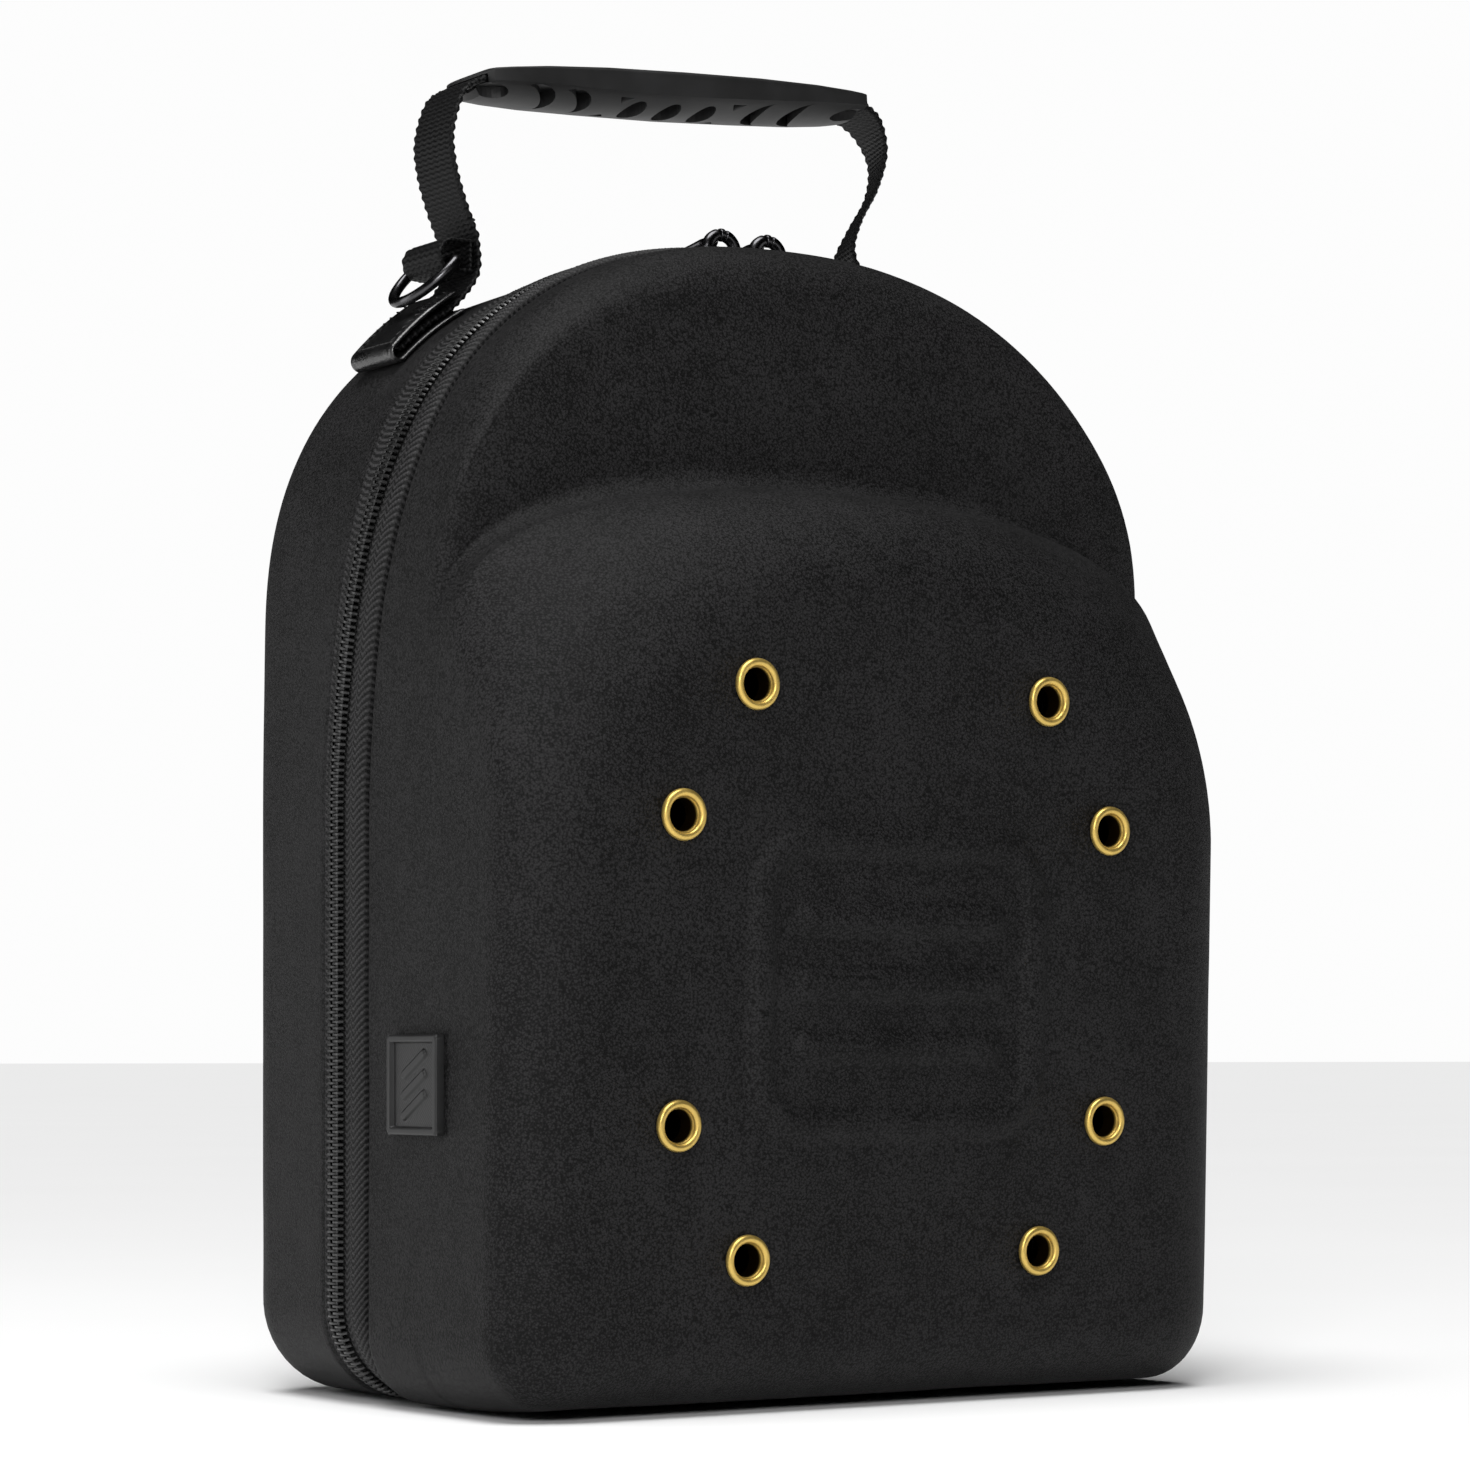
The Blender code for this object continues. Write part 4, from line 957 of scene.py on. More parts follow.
def make_badge():
    """Rubber badge with a raised border around three slanted bars on a fine ribbed ground."""
    cells = 110
    across = np.linspace(-BADGE_WIDTH / 2, BADGE_WIDTH / 2, cells)
    up = np.linspace(-BADGE_HEIGHT / 2, BADGE_HEIGHT / 2, cells)
    u, v = np.meshgrid(across, up, indexing="ij")
    edge = box_distance(u, v, BADGE_WIDTH / 2, BADGE_HEIGHT / 2, 1.6 * MM)
    height = BADGE_THICK * (0.5 + 0.5 * smoothstep(-BADGE_BORDER - 0.25 * MM,
                                                   -BADGE_BORDER + 0.25 * MM, edge))
    height -= 0.5 * MM * smoothstep(-0.7 * MM, 0.0, edge) ** 2
    bars = np.full_like(u, 1.0)
    for middle in (-BADGE_BAR_PITCH, 0.0, BADGE_BAR_PITCH):
        turned_u = u * math.cos(BADGE_BAR_SLANT) + (v - middle) * math.sin(BADGE_BAR_SLANT)
        turned_v = -u * math.sin(BADGE_BAR_SLANT) + (v - middle) * math.cos(BADGE_BAR_SLANT)
        bars = np.minimum(bars, box_distance(turned_u, turned_v, 6.4 * MM, 1.15 * MM, 1.0 * MM))
    height += 0.75 * MM * (1 - smoothstep(-0.3 * MM, 0.25 * MM, bars))
    ground = (edge < -BADGE_BORDER - 0.6 * MM) & (bars > 0.5 * MM)
    height += np.where(ground, 0.05 * MM * np.sin(2 * math.pi * (u + v) / (1.0 * MM)), 0.0)
    pull_in = np.where(edge > -0.02 * MM, 1.0, 0.0)
    seat = -(CASE_WIDTH / 2 - SHELL_STEP) - 0.1 * MM
    middle_y = ZIP_Y - BADGE_AHEAD
    shrink = 1 - 0.012 * pull_in
    top = np.stack([seat - height, middle_y - u * shrink, BADGE_Z + v * shrink], 2)
    build = Build()
    faces = []
    for i in range(cells - 1):
        for j in range(cells - 1):
            faces.append((i * cells + j, (i + 1) * cells + j, (i + 1) * cells + j + 1,
                          i * cells + j + 1))
    border = [(i, 0) for i in range(cells)] + [(cells - 1, j) for j in range(1, cells)]
    border += [(i, cells - 1) for i in range(cells - 2, -1, -1)]
    border += [(0, j) for j in range(cells - 2, 0, -1)]
    foot = [(seat, top[i, j, 1], top[i, j, 2]) for i, j in border]
    start = cells * cells
    for number, (i, j) in enumerate(border):
        after = (number + 1) % len(border)
        ai, aj = border[after]
        faces.append((i * cells + j, ai * cells + aj, start + after, start + number))
    faces.append(tuple(start + number for number in range(len(border))))
    build.add(np.vstack([top.reshape(-1, 3), foot]), faces)
    finish_piece("side_badge_rubber", build, BADGE_RUBBER,
                 ("side_badge",), sharp=50)


# Handle

def seat_section(y, angle):
    """Section of the back half below a place on the arch."""
    behind = y - ZIP_Y
    for _ in range(4):
        section = back_section(behind)
        z = arch_point(section, angle)[1]
        behind = (y - ZIP_Y + float(lean(z))) / (1 + float(lean(z)) / BACK_DEPTH)
    return section


def seat_point(angle, offset):
    """Point (x, z) over the arch under the front edge of a tab."""
    return arch_point(seat_section(HANDLE_Y - TAB_WIDTH / 2, angle), angle, offset)


TAB_TOP = seat_point(TAB_HIGH, 0.0)
TAB_FOOT = seat_point(TAB_LOW, 0.0)
NECK_X = TAB_TOP[0] - NECK_INSIDE_TAB
NECK_Z = TAB_TOP[1] + NECK_ABOVE_TAB
RING_ANGLE = math.atan2(TAB_TOP[1] - TAB_FOOT[1], TAB_FOOT[0] - TAB_TOP[0]) + RING_FROM_ARCH


def grip_line(along, offset):
    """Point (x, z) along the tilted middle of the grip."""
    return (along * math.cos(GRIP_TILT) - offset * math.sin(GRIP_TILT),
            GRIP_Z + along * math.sin(GRIP_TILT) + offset * math.cos(GRIP_TILT))


def strap_half(side):
    """Way (x, z) of the strap from the grip down into a tab."""
    end_z = grip_line(side * GRIP_LENGTH / 2, -GRIP_STRAP_DROP)[1]
    middle = GAP + TAB_THICK + 2 * GAP + STRAP_THICK / 2
    drop = end_z - NECK_Z
    points = [(side * (NECK_X + bulge), end_z - share * drop)
              for bulge, share in (STRAP_LEFT if side < 0 else STRAP_RIGHT)]
    points += [(side * NECK_X, NECK_Z + lift) for lift in (LOOP_HALF_HEIGHT, -LOOP_HALF_HEIGHT)]
    for share in STRAP_IN_TAB:
        angle = TAB_LOW + (TAB_HIGH - TAB_LOW) * share
        x, z = seat_point(angle, middle)
        points.append((side * x, z))
    return points


def smooth_path(points, steps):
    """Smooth curve through points."""
    path = []
    last = len(points) - 1
    for index in range(last):
        before = np.array(points[max(index - 1, 0)])
        start = np.array(points[index])
        end = np.array(points[index + 1])
        after = np.array(points[min(index + 2, last)])
        for step in range(steps):
            t = step / steps
            path.append(0.5 * (2 * start + (end - before) * t
                               + (2 * before - 5 * start + 4 * end - after) * t * t
                               + (3 * start - before - 3 * end + after) * t ** 3))
    path.append(np.array(points[-1]))
    return path


def webbing_section(width, thick, count=26):
    """Closed section of webbing: (across, out), flat with rounded, slightly thinner edges."""
    upper = []
    for share in np.linspace(-1, 1, count):
        edge = 1 - max(0.0, abs(share) - 0.93) / 0.07
        upper.append((share * width / 2, thick / 2 * math.sqrt(max(edge, 0.12))))
    return upper + [(across, -out) for across, out in reversed(upper)]


def webbing_ribs(across, out, run, thick):
    """Extra height of the wavy cross ribs and of the beaded edges."""
    warp = 2 * math.pi * across / WARP_PITCH
    step = 2 * math.pi * run / RIB_PITCH
    rib = 0.15 * MM * math.sin(step + 1.1 * math.sin(warp))
    if abs(across) > STRAP_WIDTH * 0.46:
        rib = 0.25 * MM * math.sin(step * 0.5)
    return math.copysign(1, out) * rib if abs(out) > thick * 0.1 else 0.0


def make_strap():
    """Webbing from tab to tab through the grip, twisted on the right."""
    left = strap_half(-1)
    right = strap_half(1)
    ends = [grip_line(side * GRIP_LENGTH / 2, -GRIP_STRAP_DROP) for side in (-1, 1)]
    path = smooth_path(list(reversed(left)) + ends[:1], 12)
    path += smooth_path(ends[1:] + right, 12)
    path = np.array(path)
    count = int(path_length(path, closed=False) / (0.36 * MM))
    path = resample(path, count, closed=False)
    high = path[:, 1].max()
    section = webbing_section(STRAP_WIDTH, STRAP_THICK * 0.86, 31)
    rings, lie = [], []
    run = 0.0
    for index, (x, z) in enumerate(path):
        step = path[min(index + 1, count - 1)] - path[max(index - 1, 0)]
        step /= np.linalg.norm(step)
        normal = np.array([-step[1], step[0]])
        if index:
            run += float(np.linalg.norm(path[index] - path[index - 1]))
        twist = 0.0
        low = NECK_Z + LOOP_HALF_HEIGHT
        if x > GRIP_LENGTH * 0.45 and z > low:
            twist = STRAP_TWIST * math.sin(math.pi * min((high - z) / (high - low), 1.0)) ** 0.6
        ring, ring_lie = [], []
        for across, out in section:
            lift = out + webbing_ribs(across, out, run, STRAP_THICK)
            ring.append((x + normal[0] * lift + across * math.sin(twist),
                         HANDLE_Y + across * math.cos(twist), z + normal[1] * lift))
            ring_lie.append((across, run, 0))
        rings.append(ring)
        lie.append(ring_lie)
    build = Build()
    build.rings(rings, lie=lie)
    finish_piece("handle_webbing", build, WEBBING,
                 ("handle_strap",), sharp=60)


STATIONS = ((0.0, 1.0, 1.0, 1.0, 1.0), (0.40, 0.95, 0.84, 0.96, 1.0), (0.70, 0.76, 0.68, 0.90, 1.0),
            (0.88, 0.55, 0.62, 0.80, 0.96), (0.97, 0.42, 0.60, 0.70, 0.90),
            (1.0, 0.25, 0.60, 0.62, 0.84))

# Openings in the belly of the grip: kind, middle along, middle across, half length, half width,
# slant in degrees
BELLY_CUTS = (
    ("oval", -59.0, -7.5, 4.8, 3.6, 0), ("moon", -47.0, -6.0, 7.2, 4.2, 238),
    ("moon", -35.2, -5.8, 7.2, 4.0, 238), ("wedge", -18.6, -10.3, 2.3, 1.4, 180),
    ("wedge", -21.6, -0.2, 2.4, 1.3, 0), ("oval", -13.4, -4.9, 5.8, 3.2, 92),
    ("oval", -2.2, -4.9, 5.8, 3.2, 92), ("oval", 9.2, -4.9, 5.8, 3.2, 92),
    ("wedge", 14.8, 0.4, 2.2, 1.2, 0), ("wedge", 17.9, -10.3, 2.3, 1.4, 180),
    ("moon", 30.5, -5.8, 7.0, 4.2, 84), ("moon", 43.0, -6.0, 7.2, 4.4, 84),
    ("oval", 57.5, -7.5, 6.2, 3.4, 0),
)


def grip_shares(share):
    """Shares of top, side, belly and width at a share of the half length."""
    table = np.array(STATIONS)
    return [float(np.interp(abs(share), table[:, 0], table[:, k])) for k in range(1, 5)]


def cut_outline(kind, half_length, half_width, count=22):
    """Outline of an opening in the belly of the grip."""
    points = []
    if kind == "wedge":
        points = [(-half_length, half_width), (half_length, half_width), (0.6, -half_width)]
        return resample(points, count)
    for turn in np.linspace(0, 2 * math.pi, count + 1)[:-1]:
        along, across = half_length * math.cos(turn), half_width * math.sin(turn)
        if kind == "moon":
            across = half_width * (1.3 * abs(math.sin(turn)) + 0.5 * math.sin(turn))
        points.append((along, across))
    return np.array(points)


def make_grip():
    """Rubber grip with a flat top, side bands and a belly with openings."""
    rings = []
    for share in np.linspace(-1, 1, 90):
        top, side, belly, width = grip_shares(share)
        half = GRIP_WIDTH / 2 * width
        upper, lower, deep = GRIP_TOP * top, GRIP_SIDE * side, GRIP_BELLY * belly
        ends = 1 - 0.25 * smoothstep(0.985, 1.0, abs(share))
        ring = []
        for t in np.linspace(-1, 1, 30):
            ring.append((half * t, -(lower + (deep - lower) * math.cos(t * math.pi / 2) ** 0.9)))
        for t in np.linspace(0, 1, 6)[1:-1]:
            ring.append((half, -lower + (lower + upper * 0.5) * t))
        for turn in np.linspace(0, math.pi, 26):
            reach = math.copysign(abs(math.cos(turn)) ** 0.45, math.cos(turn))
            ring.append((half * reach, upper * (0.5 + 0.5 * math.sin(turn) ** 0.8)))
        for t in np.linspace(1, 0, 6)[1:-1]:
            ring.append((-half, -lower + (lower + upper * 0.5) * t))
        placed = []
        for across, offset in ring:
            x, z = grip_line(share * GRIP_LENGTH / 2, offset * ends)
            placed.append((x, HANDLE_Y + across * ends, z))
        rings.append(placed)
    build = Build()
    build.rings(rings)
    piece = finish_piece("handle_grip_rubber", build, GRIP_RUBBER, ("handle_grip",),
                         sharp=35)
    tool = Build()
    half_width, half_height = STRAP_WIDTH / 2 + GAP, STRAP_THICK / 2 + GAP
    slot_rings = []
    for along in (-0.6 * GRIP_LENGTH, 0.6 * GRIP_LENGTH):
        ring = []
        for across, up in ((-1, -1), (1, -1), (1, 1), (-1, 1)):
            x, z = grip_line(along, -GRIP_STRAP_DROP + up * half_height)
            ring.append((x, HANDLE_Y + across * half_width, z))
        slot_rings.append(ring)
    tool.rings(slot_rings)
    for kind, along, across, half_length, half_width, slant in BELLY_CUTS:
        turn = math.radians(slant)
        flat = cut_outline(kind, half_length, half_width)
        u = along + flat[:, 0] * math.cos(turn) - flat[:, 1] * math.sin(turn)
        v = across + flat[:, 0] * math.sin(turn) + flat[:, 1] * math.cos(turn)
        pair = []
        for offset in (-12 * MM, -2.3 * MM):
            ring = []
            for a, b in zip(u, v):
                x, z = grip_line(a * MM, offset)
                ring.append((x, HANDLE_Y + b * MM, z))
            pair.append(ring)
        tool.rings(pair)
    cut(piece, tool, "grip_tool", True)


def ribbon(build, centre_line, section_of):
    """Sweep a section (across, out) along points (x, z) with normals."""
    rings, marks = [], []
    run = 0.0
    for index, (x, z) in enumerate(centre_line):
        step = centre_line[min(index + 1, len(centre_line) - 1)] - centre_line[max(index - 1, 0)]
        step = step / np.linalg.norm(step)
        normal = np.array([-step[1], step[0]])
        if index:
            run += float(np.linalg.norm(centre_line[index] - centre_line[index - 1]))
        ring, mark = [], []
        for across, out in section_of(run):
            ring.append((x + normal[0] * out, HANDLE_Y + across, z + normal[1] * out))
            mark.append((across, run, 0))
        rings.append(ring)
        marks.append(mark)
    build.rings(rings, lie=marks)


def make_tab(side, word):
    """Leather folded in two, with a rolled border and a seam around the strap's end."""
    inner = GAP + TAB_THICK / 2
    outer = GAP + TAB_THICK + STRAP_THICK + 4 * GAP + TAB_THICK / 2
    angles = np.linspace(TAB_LOW, TAB_HIGH, 26)
    lower = [seat_point(a, inner) for a in angles[::-1]]
    start, far = np.array(seat_point(TAB_LOW, inner)), np.array(seat_point(TAB_LOW, outer))
    middle, reach = (start + far) / 2, np.linalg.norm(far - start) / 2
    out = (far - start) / np.linalg.norm(far - start)
    down = np.array([out[1], -out[0]])
    fold = [middle + reach * (-math.cos(t) * out + math.sin(t) * down)
            for t in np.linspace(0, math.pi, 12)[1:-1]]
    upper = [seat_point(a, outer + TAB_SPREAD * (a - TAB_LOW) / (TAB_HIGH - TAB_LOW))
             for a in angles]
    line = np.array(lower + [tuple(p) for p in fold] + upper)
    line[:, 0] *= side
    line = resample(line, 120, closed=False)
    total = path_length(line, closed=False)

    def section_of(run):
        ring = []
        end = min(run, total - run)
        thin = min(1.0, 0.55 + end / (2.2 * MM))
        for share in np.linspace(-1, 1, 31):
            inset = (1 - abs(share)) * TAB_WIDTH / 2
            roll = 1.0 + 0.16 * math.exp(-((inset - 0.9 * MM) / (0.7 * MM)) ** 2)
            seam = 0.3 * math.exp(-((inset - 2.6 * MM) / (0.45 * MM)) ** 2)
            cap = math.sqrt(max(0.06, min(1.0, inset / (0.5 * MM))))
            ring.append((share * TAB_WIDTH / 2,
                         TAB_THICK / 2 * min(cap, roll - seam) * thin))
        return ring + [(across, -out_by) for across, out_by in reversed(ring)]

    build = Build()
    ribbon(build, line, section_of)
    name = f"tab_{word}_leather"
    finish_piece(name, build, LEATHER, (f"tab_{word}",), sharp=60)
    stitches = Build()
    for row in (-1, 1):
        for angle in np.linspace(TAB_LOW + 0.02, TAB_HIGH - 0.015, 9):
            spot = np.array(seat_point(angle, outer + TAB_THICK * 0.5
                                       + TAB_SPREAD * (angle - TAB_LOW) / (TAB_HIGH - TAB_LOW)))
            nearby = np.array(seat_point(angle + 0.01, outer + TAB_THICK * 0.5))
            along = nearby - spot
            along[0] *= side
            along /= np.linalg.norm(along)
            add_stitch(stitches, (side * spot[0], HANDLE_Y + row * (TAB_WIDTH / 2 - 2.6 * MM),
                                  spot[1]), (along[0], 0, along[1]), 1.1 * MM, 0.3 * MM)
    for across in np.linspace(-TAB_WIDTH / 2 + 2.6 * MM, TAB_WIDTH / 2 - 2.6 * MM, 8):
        spot = seat_point(TAB_LOW + 0.012, outer + TAB_THICK * 0.5)
        add_stitch(stitches, (side * spot[0], HANDLE_Y + across, spot[1]), (0, 1, 0), 1.1 * MM,
                   0.3 * MM)
    name = f"tab_{word}_stitches"
    finish_piece(name, stitches, THREAD)


def add_stitch(build, centre, direction, half, radius):
    """A short, tapered run of thread."""
    direction = np.asarray(direction, float)
    direction /= np.linalg.norm(direction)
    helper = np.array([0, 1, 0]) if abs(direction[1]) < 0.9 else np.array([0, 0, 1.0])
    first = np.cross(direction, helper)
    first /= np.linalg.norm(first)
    second = np.cross(direction, first)
    rings = []
    turns = np.linspace(0, 2 * math.pi, 9)[:-1]
    for share, size in ((-1, 0.2), (-0.8, 0.75), (-0.3, 1), (0.3, 1), (0.8, 0.75), (1, 0.2)):
        rings.append(np.asarray(centre) + direction * share * half
                     + radius * size * (np.cos(turns)[:, None] * first
                                        + np.sin(turns)[:, None] * second))
    build.rings(rings)


def loop_centre():
    """Middle (x, z) of the rolled end of a ring loop."""
    flat = NECK_X + STRAP_THICK / 2 + 2 * GAP
    return flat + LOOP_THICK + LOOP_RADIUS, NECK_Z - GAP


def make_ring_loop(side, word):
    """Webbing end rolled into a loop on the outside of the strap, stitched above and below."""
    x, z = loop_centre()
    flat = NECK_X + STRAP_THICK / 2 + 2 * GAP
    mid = LOOP_THICK / 2
    line = [(flat + mid, z - LOOP_HALF_HEIGHT + mid), (flat + mid, z + LOOP_HALF_HEIGHT - mid)]
    for angle in np.linspace(math.pi / 2, -math.pi / 2, 30):
        line.append((x + (LOOP_RADIUS - mid) * math.cos(angle),
                     z + (LOOP_RADIUS - mid) * math.sin(angle)))
    line = resample(line, 110)
    line[:, 0] *= side
    count = len(line)
    section = webbing_section(STRAP_WIDTH, LOOP_THICK * 0.86, 41)
    rings, marks = [], []
    run = 0.0
    for index, (px, pz) in enumerate(line):
        step = line[(index + 1) % count] - line[index - 1]
        step /= np.linalg.norm(step)
        normal = np.array([-step[1], step[0]])
        run += float(np.linalg.norm(line[index] - line[index - 1]))
        ring = []
        for across, out in section:
            lift = out + 0.7 * webbing_ribs(across, out, run, LOOP_THICK)
            ring.append((px + normal[0] * lift, HANDLE_Y + across, pz + normal[1] * lift))
        rings.append(ring)
        marks.append([(across, run, 0) for across, out in section])
    build = Build()
    build.rings(rings, wrap=True, lie=marks)
    name = f"ring_loop_{word}_webbing"
    finish_piece(name, build, WEBBING, (f"ring_loop_{word}",), sharp=60)
    stitches = Build()
    out = NECK_X + STRAP_THICK / 2 + 0.2 * MM
    for row in (3.1 * MM, 5.0 * MM):
        for across in np.linspace(-0.44 * STRAP_WIDTH, 0.44 * STRAP_WIDTH, 11):
            add_stitch(stitches, (side * out, HANDLE_Y + across, NECK_Z + LOOP_HALF_HEIGHT + row),
                       (0, 1, 0.3), 1.0 * MM, 0.42 * MM)
    name = f"loop_stitches_{word}"
    finish_piece(name, stitches, THREAD)


def tube(centres, radius, wrap, segments=16, normal=None):
    """Rings of a round tube through points."""
    centres = np.asarray(centres, float)
    count = len(centres)
    turns = np.linspace(0, 2 * math.pi, segments + 1)[:-1]
    rings = []
    side = normal
    for index in range(count):
        ahead = centres[(index + 1) % count] if wrap or index < count - 1 else centres[index]
        behind = centres[index - 1] if wrap or index else centres[index]
        way = ahead - behind
        way /= np.linalg.norm(way)
        first = np.cross(way, side)
        first /= np.linalg.norm(first)
        second = np.cross(first, way)
        size = radius[index] if np.ndim(radius) else radius
        rings.append(centres[index] + size * (np.cos(turns)[:, None] * first
                                              + np.sin(turns)[:, None] * second))
    return rings


def make_d_ring(side, word):
    """Steel ring with its bar in the loop, resting over the tab."""
    x, z = loop_centre()
    bar_z = z - (LOOP_RADIUS - LOOP_THICK - RING_WIRE - GAP)
    half = RING_WIDTH / 2
    route = [(0.0, -0.7), (0.0, 0.0), (0.0, 0.7), (RING_WIRE * 0.3, 0.95)]
    for angle in np.linspace(0, math.pi, 15):
        route.append((RING_WIRE * 2 + (RING_DROP - RING_WIRE * 2) * math.sin(angle),
                      math.cos(angle)))
    route.append((RING_WIRE * 0.3, -0.95))
    centres = []
    for down, across in route:
        centres.append((side * (x + down * math.cos(RING_ANGLE)), HANDLE_Y + across * half,
                        bar_z - down * math.sin(RING_ANGLE)))
    count = len(centres)
    closed = [centres[index % count] for index in range(-2, count + 2)]
    fine = np.array(smooth_path(closed, 8))[16:-8]
    fine = fine[:-8] if np.allclose(fine[0], fine[-8]) else fine
    fine = resample(fine[:count * 8], 150)
    normal = np.array([side * math.sin(RING_ANGLE), 0, math.cos(RING_ANGLE)])
    build = Build()
    build.rings(tube(fine, RING_WIRE, True, 18, normal), wrap=True)
    name = f"d_ring_{word}_steel"
    finish_piece(name, build, NICKEL, (f"d_ring_{word}",))


# Sliders and pulls

def rounded_rectangle(width, height, corner, steps=6):
    """Points of a rectangle with round corners."""
    points = []
    for quarter, (sx, sy) in enumerate(((1, 1), (-1, 1), (-1, -1), (1, -1))):
        for angle in np.linspace(0, math.pi / 2, steps + 1) + math.pi / 2 * quarter:
            points.append((sx * (width / 2 - corner) + corner * math.cos(angle),
                           sy * (height / 2 - corner) + corner * math.sin(angle)))
    return points


def bail_axis():
    """Place (y, z) of the line on which a pull turns."""
    return (ZIP_Y - float(lean(CASE_HEIGHT)),
            CASE_HEIGHT + GAP + SLIDER_THICK + BAIL_HEIGHT - BAIL_WIRE)


def make_slider(word, bail_x, side):
    """Slider with flanged upper plate, shoulders and an arched bail."""
    zip_y, axis_z = bail_axis()
    base = CASE_HEIGHT + GAP
    centre_x = bail_x + side * SLIDER_OFFSET
    build = Build()
    layers = ((0.0, 0.93), (0.15, 1.0), (0.75, 1.0), (0.92, 0.95), (1.0, 0.86))
    rings = []
    for height, size in layers:
        ring = []
        for x, y in rounded_rectangle(SLIDER_LENGTH * size, SLIDER_WIDTH * size, SLIDER_WIDTH / 4):
            waist = 1 - 0.16 * smoothstep(0.0, 0.5, side * x / SLIDER_LENGTH)
            ring.append((centre_x + x, zip_y + y * float(waist), base + SLIDER_THICK * height))
        rings.append(ring)
    build.rings(rings)
    crown = []
    for height, size in ((0.8, 1.0), (1.15, 0.95), (1.3, 0.8)):
        ring = []
        for x, y in rounded_rectangle(SLIDER_LENGTH * 0.8 * size, SLIDER_WIDTH * 0.5 * size,
                                      SLIDER_WIDTH * 0.16):
            ring.append((centre_x + x, zip_y + y, base + SLIDER_THICK * height))
        crown.append(ring)
    build.rings(crown)
    foot = base + SLIDER_THICK / 2
    rise = axis_z - foot
    arch = [(bail_x - BAIL_HALF * math.cos(t), zip_y, foot + rise * math.sin(t) ** 0.85)
            for t in np.linspace(0, math.pi, 61)]
    middle = np.abs(np.linspace(-1, 1, 61)) * BAIL_HALF * math.pi / 2
    sizes = BAIL_WAIST + (BAIL_THICK - BAIL_WAIST) * smoothstep(0.85 * MM, 1.3 * MM, middle)
    build.rings(tube(arch, sizes, False, 16, np.array([0.0, 1.0, 0.0])))
    name = f"slider_{word}_metal"
    piece = finish_piece(name, build, NICKEL, (f"slider_{word}",))
    step = piece.modifiers.new("Edges", "BEVEL")
    step.width = 0.12 * MM
    step.segments = 2
    step.limit_method = "ANGLE"
    apply_modifiers(piece)


def make_pull(word, bail_x):
    """Flat pull with a stepped neck, a dished face and an eye around the bail."""
    zip_y, axis_z = bail_axis()
    place = Matrix.Translation((bail_x, zip_y, axis_z)) @ Matrix.Rotation(-PULL_DROOP, 4, "X")
    build = Build()
    eye = []
    radius = (EYE_OUTSIDE + EYE_BORE) / 2
    for turn in np.linspace(0, 2 * math.pi, 41)[:-1]:
        eye.append((0.0, radius * math.cos(turn), radius * math.sin(turn)))
    wire = (EYE_OUTSIDE - EYE_BORE) / 2
    rings = []
    for centre in eye:
        outward = np.array([0, centre[1], centre[2]]) / radius
        ring = []
        for t in np.linspace(0, 2 * math.pi, 17)[:-1]:
            bulge = math.copysign(abs(math.cos(t)) ** 0.6, math.cos(t))
            ring.append(np.array(centre) + np.array([EYE_WIDTH / 2 * bulge, 0, 0])
                        + outward * wire * math.sin(t))
        rings.append([place @ Vector(point) for point in ring])
    build.rings(rings, wrap=True)
    stations = np.array(PULL_STATIONS)
    start = EYE_OUTSIDE - 0.25 * MM
    rings = []
    for share in np.linspace(0, 1, 60):
        half = float(np.interp(share, stations[:, 0], stations[:, 1])) * MM
        thick = float(np.interp(share, stations[:, 0], stations[:, 2])) * PULL_THICK / 2
        y = start + (PULL_LENGTH - start) * share
        face = smoothstep(0.25, 0.32, share) * (1 - smoothstep(0.86, 0.92, share))
        dish = 0.35 * MM * float(face)
        ring = []
        for t in np.linspace(-1, 1, 21):
            inset = float(smoothstep(0.28, 0.42, 1 - abs(t)))
            edge = math.sqrt(max(0.1, min(1, (1 - abs(t)) / 0.08)))
            ring.append((half * t, y, thick * edge - dish * inset))
        rings.append([place @ Vector(p) for p in ring]
                     + [place @ Vector((x, yy, -z)) for x, yy, z in reversed(ring)])
    build.rings(rings)
    name = f"pull_{word}_metal"
    finish_piece(name, build, NICKEL, (f"pull_{word}",), f"pull_{word}")


make_back_shell()
make_front_shell()
make_zip()
make_eyelets()
make_badge()
make_strap()
make_grip()
for turn_side, turn_word in ((-1, "left"), (1, "right")):
    make_tab(turn_side, turn_word)
    make_ring_loop(turn_side, turn_word)
    make_d_ring(turn_side, turn_word)
for turn_word, turn_side, bail in zip(("left", "right"), (-1, 1), SLIDER_BAIL_X):
    make_slider(turn_word, bail, turn_side)
    make_pull(turn_word, bail)


# Stage, light and camera

def floor_material():
    """Pale matt floor."""
    material, tree, shader = new_material("pale_floor", Roughness=0.9, Specular_IOR_Level=0.1)
    tint = noise(tree, coordinates(tree), 3.0, 2.0, 0.5)
    tree.links.new(ramp(tree, tint, 0.3, 0.7, (0.93, 0.93, 0.93), (0.94, 0.94, 0.94)),
                   shader.inputs["Base Color"])
    return material


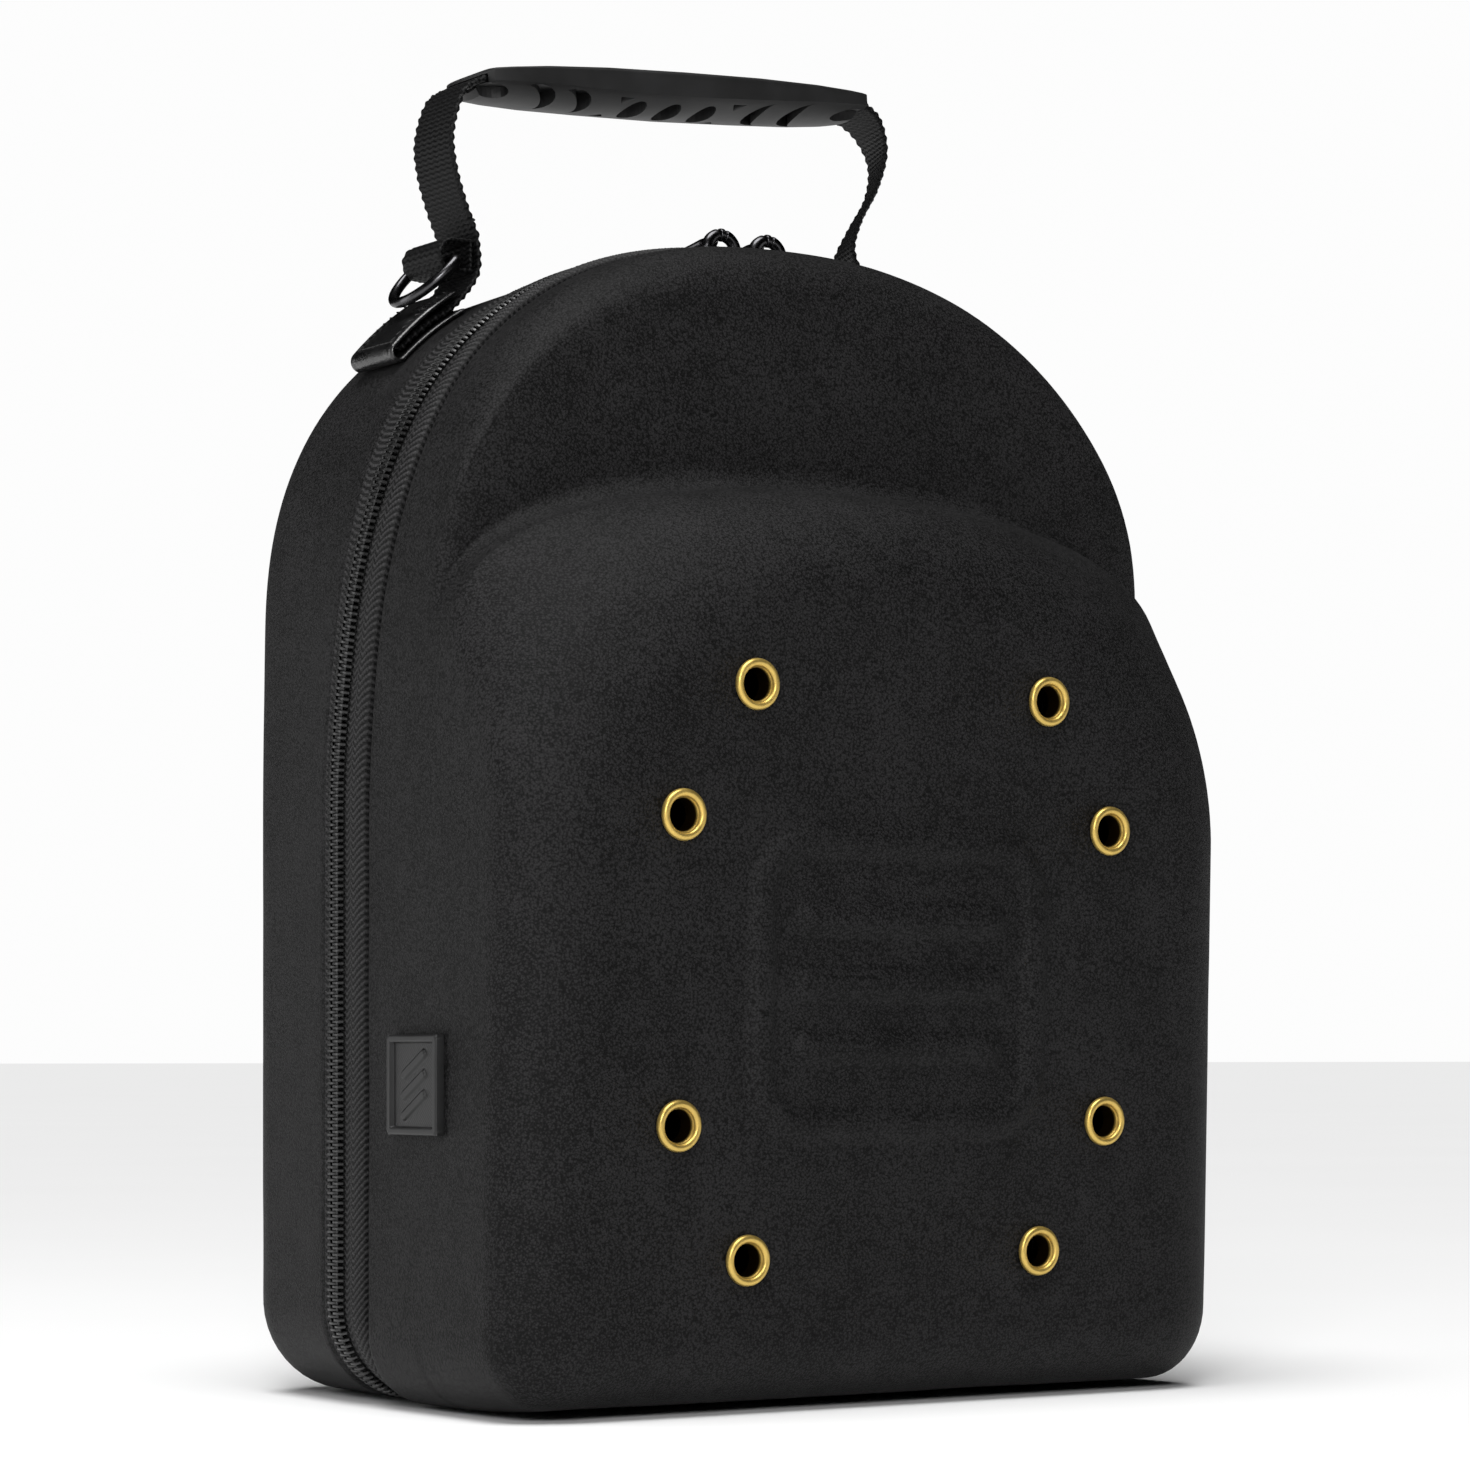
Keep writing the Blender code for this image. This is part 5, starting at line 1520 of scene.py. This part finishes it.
def make_stage():
    """Wide floor under the case."""
    mesh = bpy.data.meshes.new("floor")
    size = 40.0
    mesh.from_pydata([(-size, -size, 0), (size, -size, 0), (size, size, 0), (-size, size, 0)], [],
                     [(0, 1, 2, 3)])
    mesh.materials.append(floor_material())
    floor = bpy.data.objects.new("floor", mesh)
    floor.location.z = -0.0005
    bpy.context.scene.collection.objects.link(floor)


def add_area(name, location, target, width, energy, height):
    """Softbox at a place, aimed at a target."""
    data = bpy.data.lights.new(name, "AREA")
    data.energy = energy
    data.shape = "RECTANGLE"
    data.size = width
    data.size_y = height
    light = bpy.data.objects.new(name, data)
    light.location = location
    aim = Vector(target) - Vector(location)
    light.rotation_euler = aim.to_track_quat("-Z", "Y").to_euler()
    bpy.context.scene.collection.objects.link(light)


def add_sun(name, azimuth, elevation, spread, strength):
    """Soft light from far away. Azimuth 0 comes from the front and 90 from the right."""
    data = bpy.data.lights.new(name, "SUN")
    data.energy = strength
    data.angle = math.radians(spread)
    light = bpy.data.objects.new(name, data)
    turn, rise = math.radians(azimuth), math.radians(elevation)
    source = Vector((math.sin(turn) * math.cos(rise), -math.cos(turn) * math.cos(rise),
                     math.sin(rise)))
    light.rotation_euler = source.to_track_quat("Z", "Y").to_euler()
    light.location = source * 2
    bpy.context.scene.collection.objects.link(light)


make_stage()
world = bpy.data.worlds.new("studio")
bpy.context.scene.world = world
world.use_nodes = True
world.node_tree.nodes["Background"].inputs["Color"].default_value = (1, 1, 1, 1)
world.node_tree.nodes["Background"].inputs["Strength"].default_value = WORLD_STRENGTH
world.cycles_visibility.diffuse = False
world.cycles_visibility.glossy = False
world.cycles_visibility.transmission = False
add_sun("top_light", *TOP_LIGHT)
add_area("key_light", *KEY_LIGHT)
add_area("rim_light", *RIM_LIGHT)
bpy.context.scene.view_settings.view_transform = "Standard"

camera_data = bpy.data.cameras.new("camera")
camera = bpy.data.objects.new("camera", camera_data)
bpy.context.scene.collection.objects.link(camera)
camera.location = CAMERA_PLACE
camera.rotation_euler = (math.pi / 2, 0, CAMERA_TURN)
camera_data.sensor_width = 36
camera_data.lens = CAMERA_LENS
camera_data.shift_x, camera_data.shift_y = CAMERA_SHIFT
camera_data.clip_end = 200
bpy.context.scene.camera = camera

bpy.context.view_layer.update()
